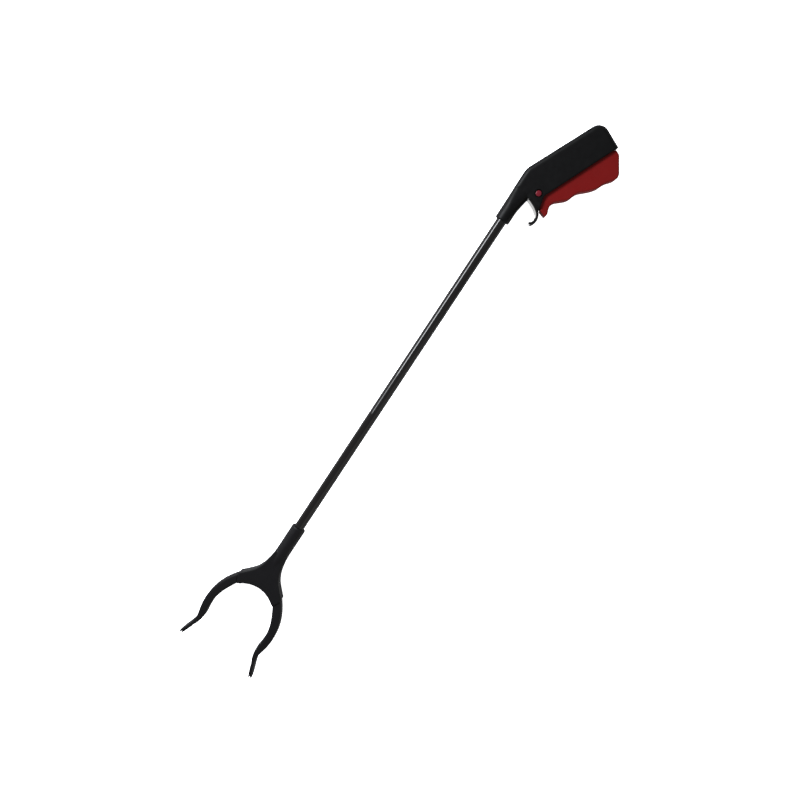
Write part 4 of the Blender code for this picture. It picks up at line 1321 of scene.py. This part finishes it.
class REACHER_OT_screws(bpy.types.Operator):
    """Make the screws of the housing, the head, the socket and the collar"""

    bl_idname = "reacher.screws"
    bl_label = "Screws"

    def execute(self, context):
        tree = screw_tree()
        groups = (
            (
                "housing",
                HOUSING_SCREWS,
                (SCREW_HEAD_RADIUS, SCREW_HEAD_HEIGHT, SCREW_RADIUS),
                ("front", "knee", "middle", "rear"),
            ),
            (
                "head",
                HEAD_SCREWS,
                (HEAD_SCREW_HEAD_RADIUS, HEAD_SCREW_HEAD_HEIGHT, HEAD_SCREW_RADIUS),
                ("upper", "lower"),
            ),
        )
        width = context.scene.reacher_sizes.recess_width
        for group, spots, (head, height, shank), labels in groups:
            nodes = [group + "_screw_" + label for label in labels]
            low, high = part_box(nodes[0])
            base = (low.z - AXIS.z) / MM
            made = points_object(group + "_screws", [(x, y, base) for x, y in spots])
            tree.bake_on(
                made,
                Head_Radius=head * MM,
                Head_Height=height * MM,
                Shank_Radius=shank * MM,
                Length=high.z - low.z,
                Recess_Width=width * head / SCREW_HEAD_RADIUS,
                Finish=finish_of("steel"),
            )
            finish(made, finish_of("steel"), "frame", "steel", *nodes)
        for name in ("socket", "collar"):
            low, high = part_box(name + "_screw")
            x, y = centre_of(name + "_screw")
            start, end = (low.z - AXIS.z) / MM, (high.z - AXIS.z) / MM
            ease = 0.2
            profile = [(start, SCREW_RADIUS - ease), (start + ease, SCREW_RADIUS)]
            profile += [(end - ease, SCREW_RADIUS), (end, SCREW_RADIUS - ease)]
            made = turned(name + "_set_screw", profile, "Z", (x, y), 32)
            a, b = 3.0, 0.25
            slot = [(x - a, y - b), (x + a, y - b), (x + a, y + b), (x - a, y + b)]
            cut(made, plate("slot", slot, start - 1.0, start + 0.7))
            finish(made, finish_of("steel"), "frame", "steel", name + "_screw")
        return {"FINISHED"}


class REACHER_OT_spring(bpy.types.Operator):
    """Make the return spring inside the housing"""

    bl_idname = "reacher.spring"
    bl_label = "Return spring"

    def execute(self, context):
        sizes = context.scene.reacher_sizes
        low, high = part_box("return_spring")
        wire = sizes.spring_wire
        made = points_object("coil_spring", [(low.x / MM + wire / MM, 0.0, 0.0)])
        coil_tree().bake_on(
            made,
            Coil_Radius=(high.z - low.z) / 2.0 - wire,
            Wire_Radius=wire,
            Length=high.x - low.x - 2.0 * wire,
            Turns=float(sizes.spring_turns),
            Finish=finish_of("steel"),
        )
        finish(made, finish_of("steel"), "frame", "steel", "return_spring", angle=80.0)
        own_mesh(made)
        return {"FINISHED"}


class REACHER_OT_inner(bpy.types.Operator):
    """Give the inner pieces that keep their CAD shape their finishes"""

    bl_idname = "reacher.inner"
    bl_label = "Inner pieces"

    def execute(self, context):
        steel = ["trigger_drive_pin", "push_rod", "rod_clevis", "crosshead"]
        steel += ["jaw_pivot_pin_upper", "jaw_pivot_pin_lower"]
        steel += ["jaw_drive_pin_upper", "jaw_drive_pin_lower"]
        guides = ["rod_guide_front", "rod_guide_middle", "rod_guide_rear"]
        for slot, names in (("steel", steel), ("nylon", guides)):
            for name in names:
                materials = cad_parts[name].data.materials
                materials.clear()
                materials.append(finish_of(slot))
        return {"FINISHED"}


# ---------------------------------------------------------------- stage


def soft_light(name, where, target, wide, tall, power, colour):
    """Rectangular softbox that faces a point."""
    lamp = bpy.data.lights.new(name, "AREA")
    lamp.shape = "RECTANGLE"
    lamp.size, lamp.size_y = wide, tall
    lamp.energy = power
    lamp.color = colour
    made = bpy.data.objects.new(name, lamp)
    made.location = where
    aim = Vector(target) - Vector(where)
    made.rotation_euler = aim.to_track_quat("-Z", "X").to_euler()
    bpy.context.scene.collection.objects.link(made)
    return made


def floor_material(colour):
    """Plain pale floor that glows a little, as a lit sheet of paper does."""
    made = Finish("floor_white", Specular_IOR_Level=0.1)
    paper = made.ramp(made.noise(3.0, 3.0), 0.3, 0.7)
    base = made.mix(paper, shade(colour, 0.985), colour)
    made.shader.inputs["Emission Color"].default_value = (1.0, 1.0, 1.0, 1.0)
    made.shader.inputs["Emission Strength"].default_value = FLOOR_GLOW
    return made.done(base, made.ramp(made.noise(8.0), 0.3, 0.7, 0.8, 0.9))


class REACHER_OT_stage(bpy.types.Operator):
    """Make the floor, the lights and the camera"""

    bl_idname = "reacher.stage"
    bl_label = "Stage"

    def execute(self, context):
        scene, stage = context.scene, context.scene.reacher_stage
        bm = bmesh.new()
        bmesh.ops.create_circle(bm, cap_ends=True, segments=96, radius=FLOOR_RADIUS)
        mesh = bpy.data.meshes.new("floor")
        bm.to_mesh(mesh)
        bm.free()
        floor = bpy.data.objects.new("floor", mesh)
        scene.collection.objects.link(floor)
        floor.data.transform(Matrix.Translation((0.0, 0.0, CAD_BOX[0].z - FLOOR_DROP)))
        floor.data.materials.append(floor_material(stage.floor))

        for name, x, tall, share in SOFTBOX_PARTS:
            target, power = (x, AXIS.y, AXIS.z), stage.key_power * share
            place = (x, *SOFTBOX_PLACE)
            soft_light(name, place, target, SOFTBOX_WIDTH, tall, power, COOL_LIGHT)
        origin, power = (0.0, 0.0, 0.0), stage.fill_power
        soft_light("fill", FILL_PLACE, origin, FILL_SIZE, FILL_SIZE, power, WARM_LIGHT)

        world = bpy.data.worlds.new("room")
        world.use_nodes = True
        background = world.node_tree.nodes["Background"]
        background.inputs["Color"].default_value = (1.0, 1.0, 1.0, 1.0)
        background.inputs["Strength"].default_value = stage.sky
        scene.world = world
        scene.view_settings.view_transform = "Standard"

        lean, turn = stage.tilt, stage.roll
        back = Vector((math.sin(lean), 0.0, math.cos(lean)))
        along = Vector((math.cos(lean), 0.0, -math.sin(lean)))
        side = Vector((0.0, 1.0, 0.0))
        right = along * math.cos(turn) - side * math.sin(turn)
        up = along * math.sin(turn) + side * math.cos(turn)
        target = Vector((*CAMERA_TARGET, AXIS.z))
        camera = bpy.data.cameras.new("camera")
        camera.lens = stage.lens
        camera.sensor_width = 36.0
        camera.clip_start = 0.01
        camera.clip_end = 50.0
        made = bpy.data.objects.new("camera", camera)
        scene.collection.objects.link(made)
        turned_to = Matrix((right, up, back)).transposed().to_4x4()
        made.matrix_world = Matrix.Translation(target + back * stage.distance) @ turned_to
        scene.camera = made
        return {"FINISHED"}


# ---------------------------------------------------------------- add-on

OPERATORS = (
    REACHER_OT_housing,
    REACHER_OT_trigger,
    REACHER_OT_tube,
    REACHER_OT_head,
    REACHER_OT_jaws,
    REACHER_OT_pads,
    REACHER_OT_screws,
    REACHER_OT_spring,
    REACHER_OT_inner,
    REACHER_OT_stage,
)


class REACHER_PT_panel(bpy.types.Panel):
    """Sidebar panel with the settings and one button for each step"""

    bl_label = "Reacher grabber"
    bl_idname = "REACHER_PT_panel"
    bl_space_type = "VIEW_3D"
    bl_region_type = "UI"
    bl_category = "Reacher"

    def draw(self, context):
        layout = self.layout
        for label in ("reacher_sizes", "reacher_finishes", "reacher_stage"):
            group = getattr(context.scene, label)
            column = layout.column(align=True)
            for name in group.bl_rna.properties.keys():
                if name not in ("rna_type", "name"):
                    column.prop(group, name)
        for kind in OPERATORS:
            layout.operator(kind.bl_idname)


GROUPS = {
    "reacher_sizes": ReacherSizes,
    "reacher_finishes": ReacherFinishes,
    "reacher_stage": ReacherStage,
}


def register():
    """Register the settings, the operators and the panel."""
    for label, group in GROUPS.items():
        bpy.utils.register_class(group)
        setattr(bpy.types.Scene, label, PointerProperty(type=group))
    for kind in (*OPERATORS, REACHER_PT_panel):
        bpy.utils.register_class(kind)


def unregister():
    """Undo register."""
    for kind in (REACHER_PT_panel, *reversed(OPERATORS)):
        bpy.utils.unregister_class(kind)
    for label, group in GROUPS.items():
        delattr(bpy.types.Scene, label)
        bpy.utils.unregister_class(group)


def main():
    """Build everything in order."""
    register()
    bpy.ops.reacher.housing()
    bpy.ops.reacher.trigger()
    bpy.ops.reacher.tube()
    bpy.ops.reacher.head()
    bpy.ops.reacher.jaws()
    bpy.ops.reacher.pads()
    bpy.ops.reacher.screws()
    bpy.ops.reacher.spring()
    bpy.ops.reacher.inner()
    bpy.ops.reacher.stage()


if __name__ == "__main__":
    main()
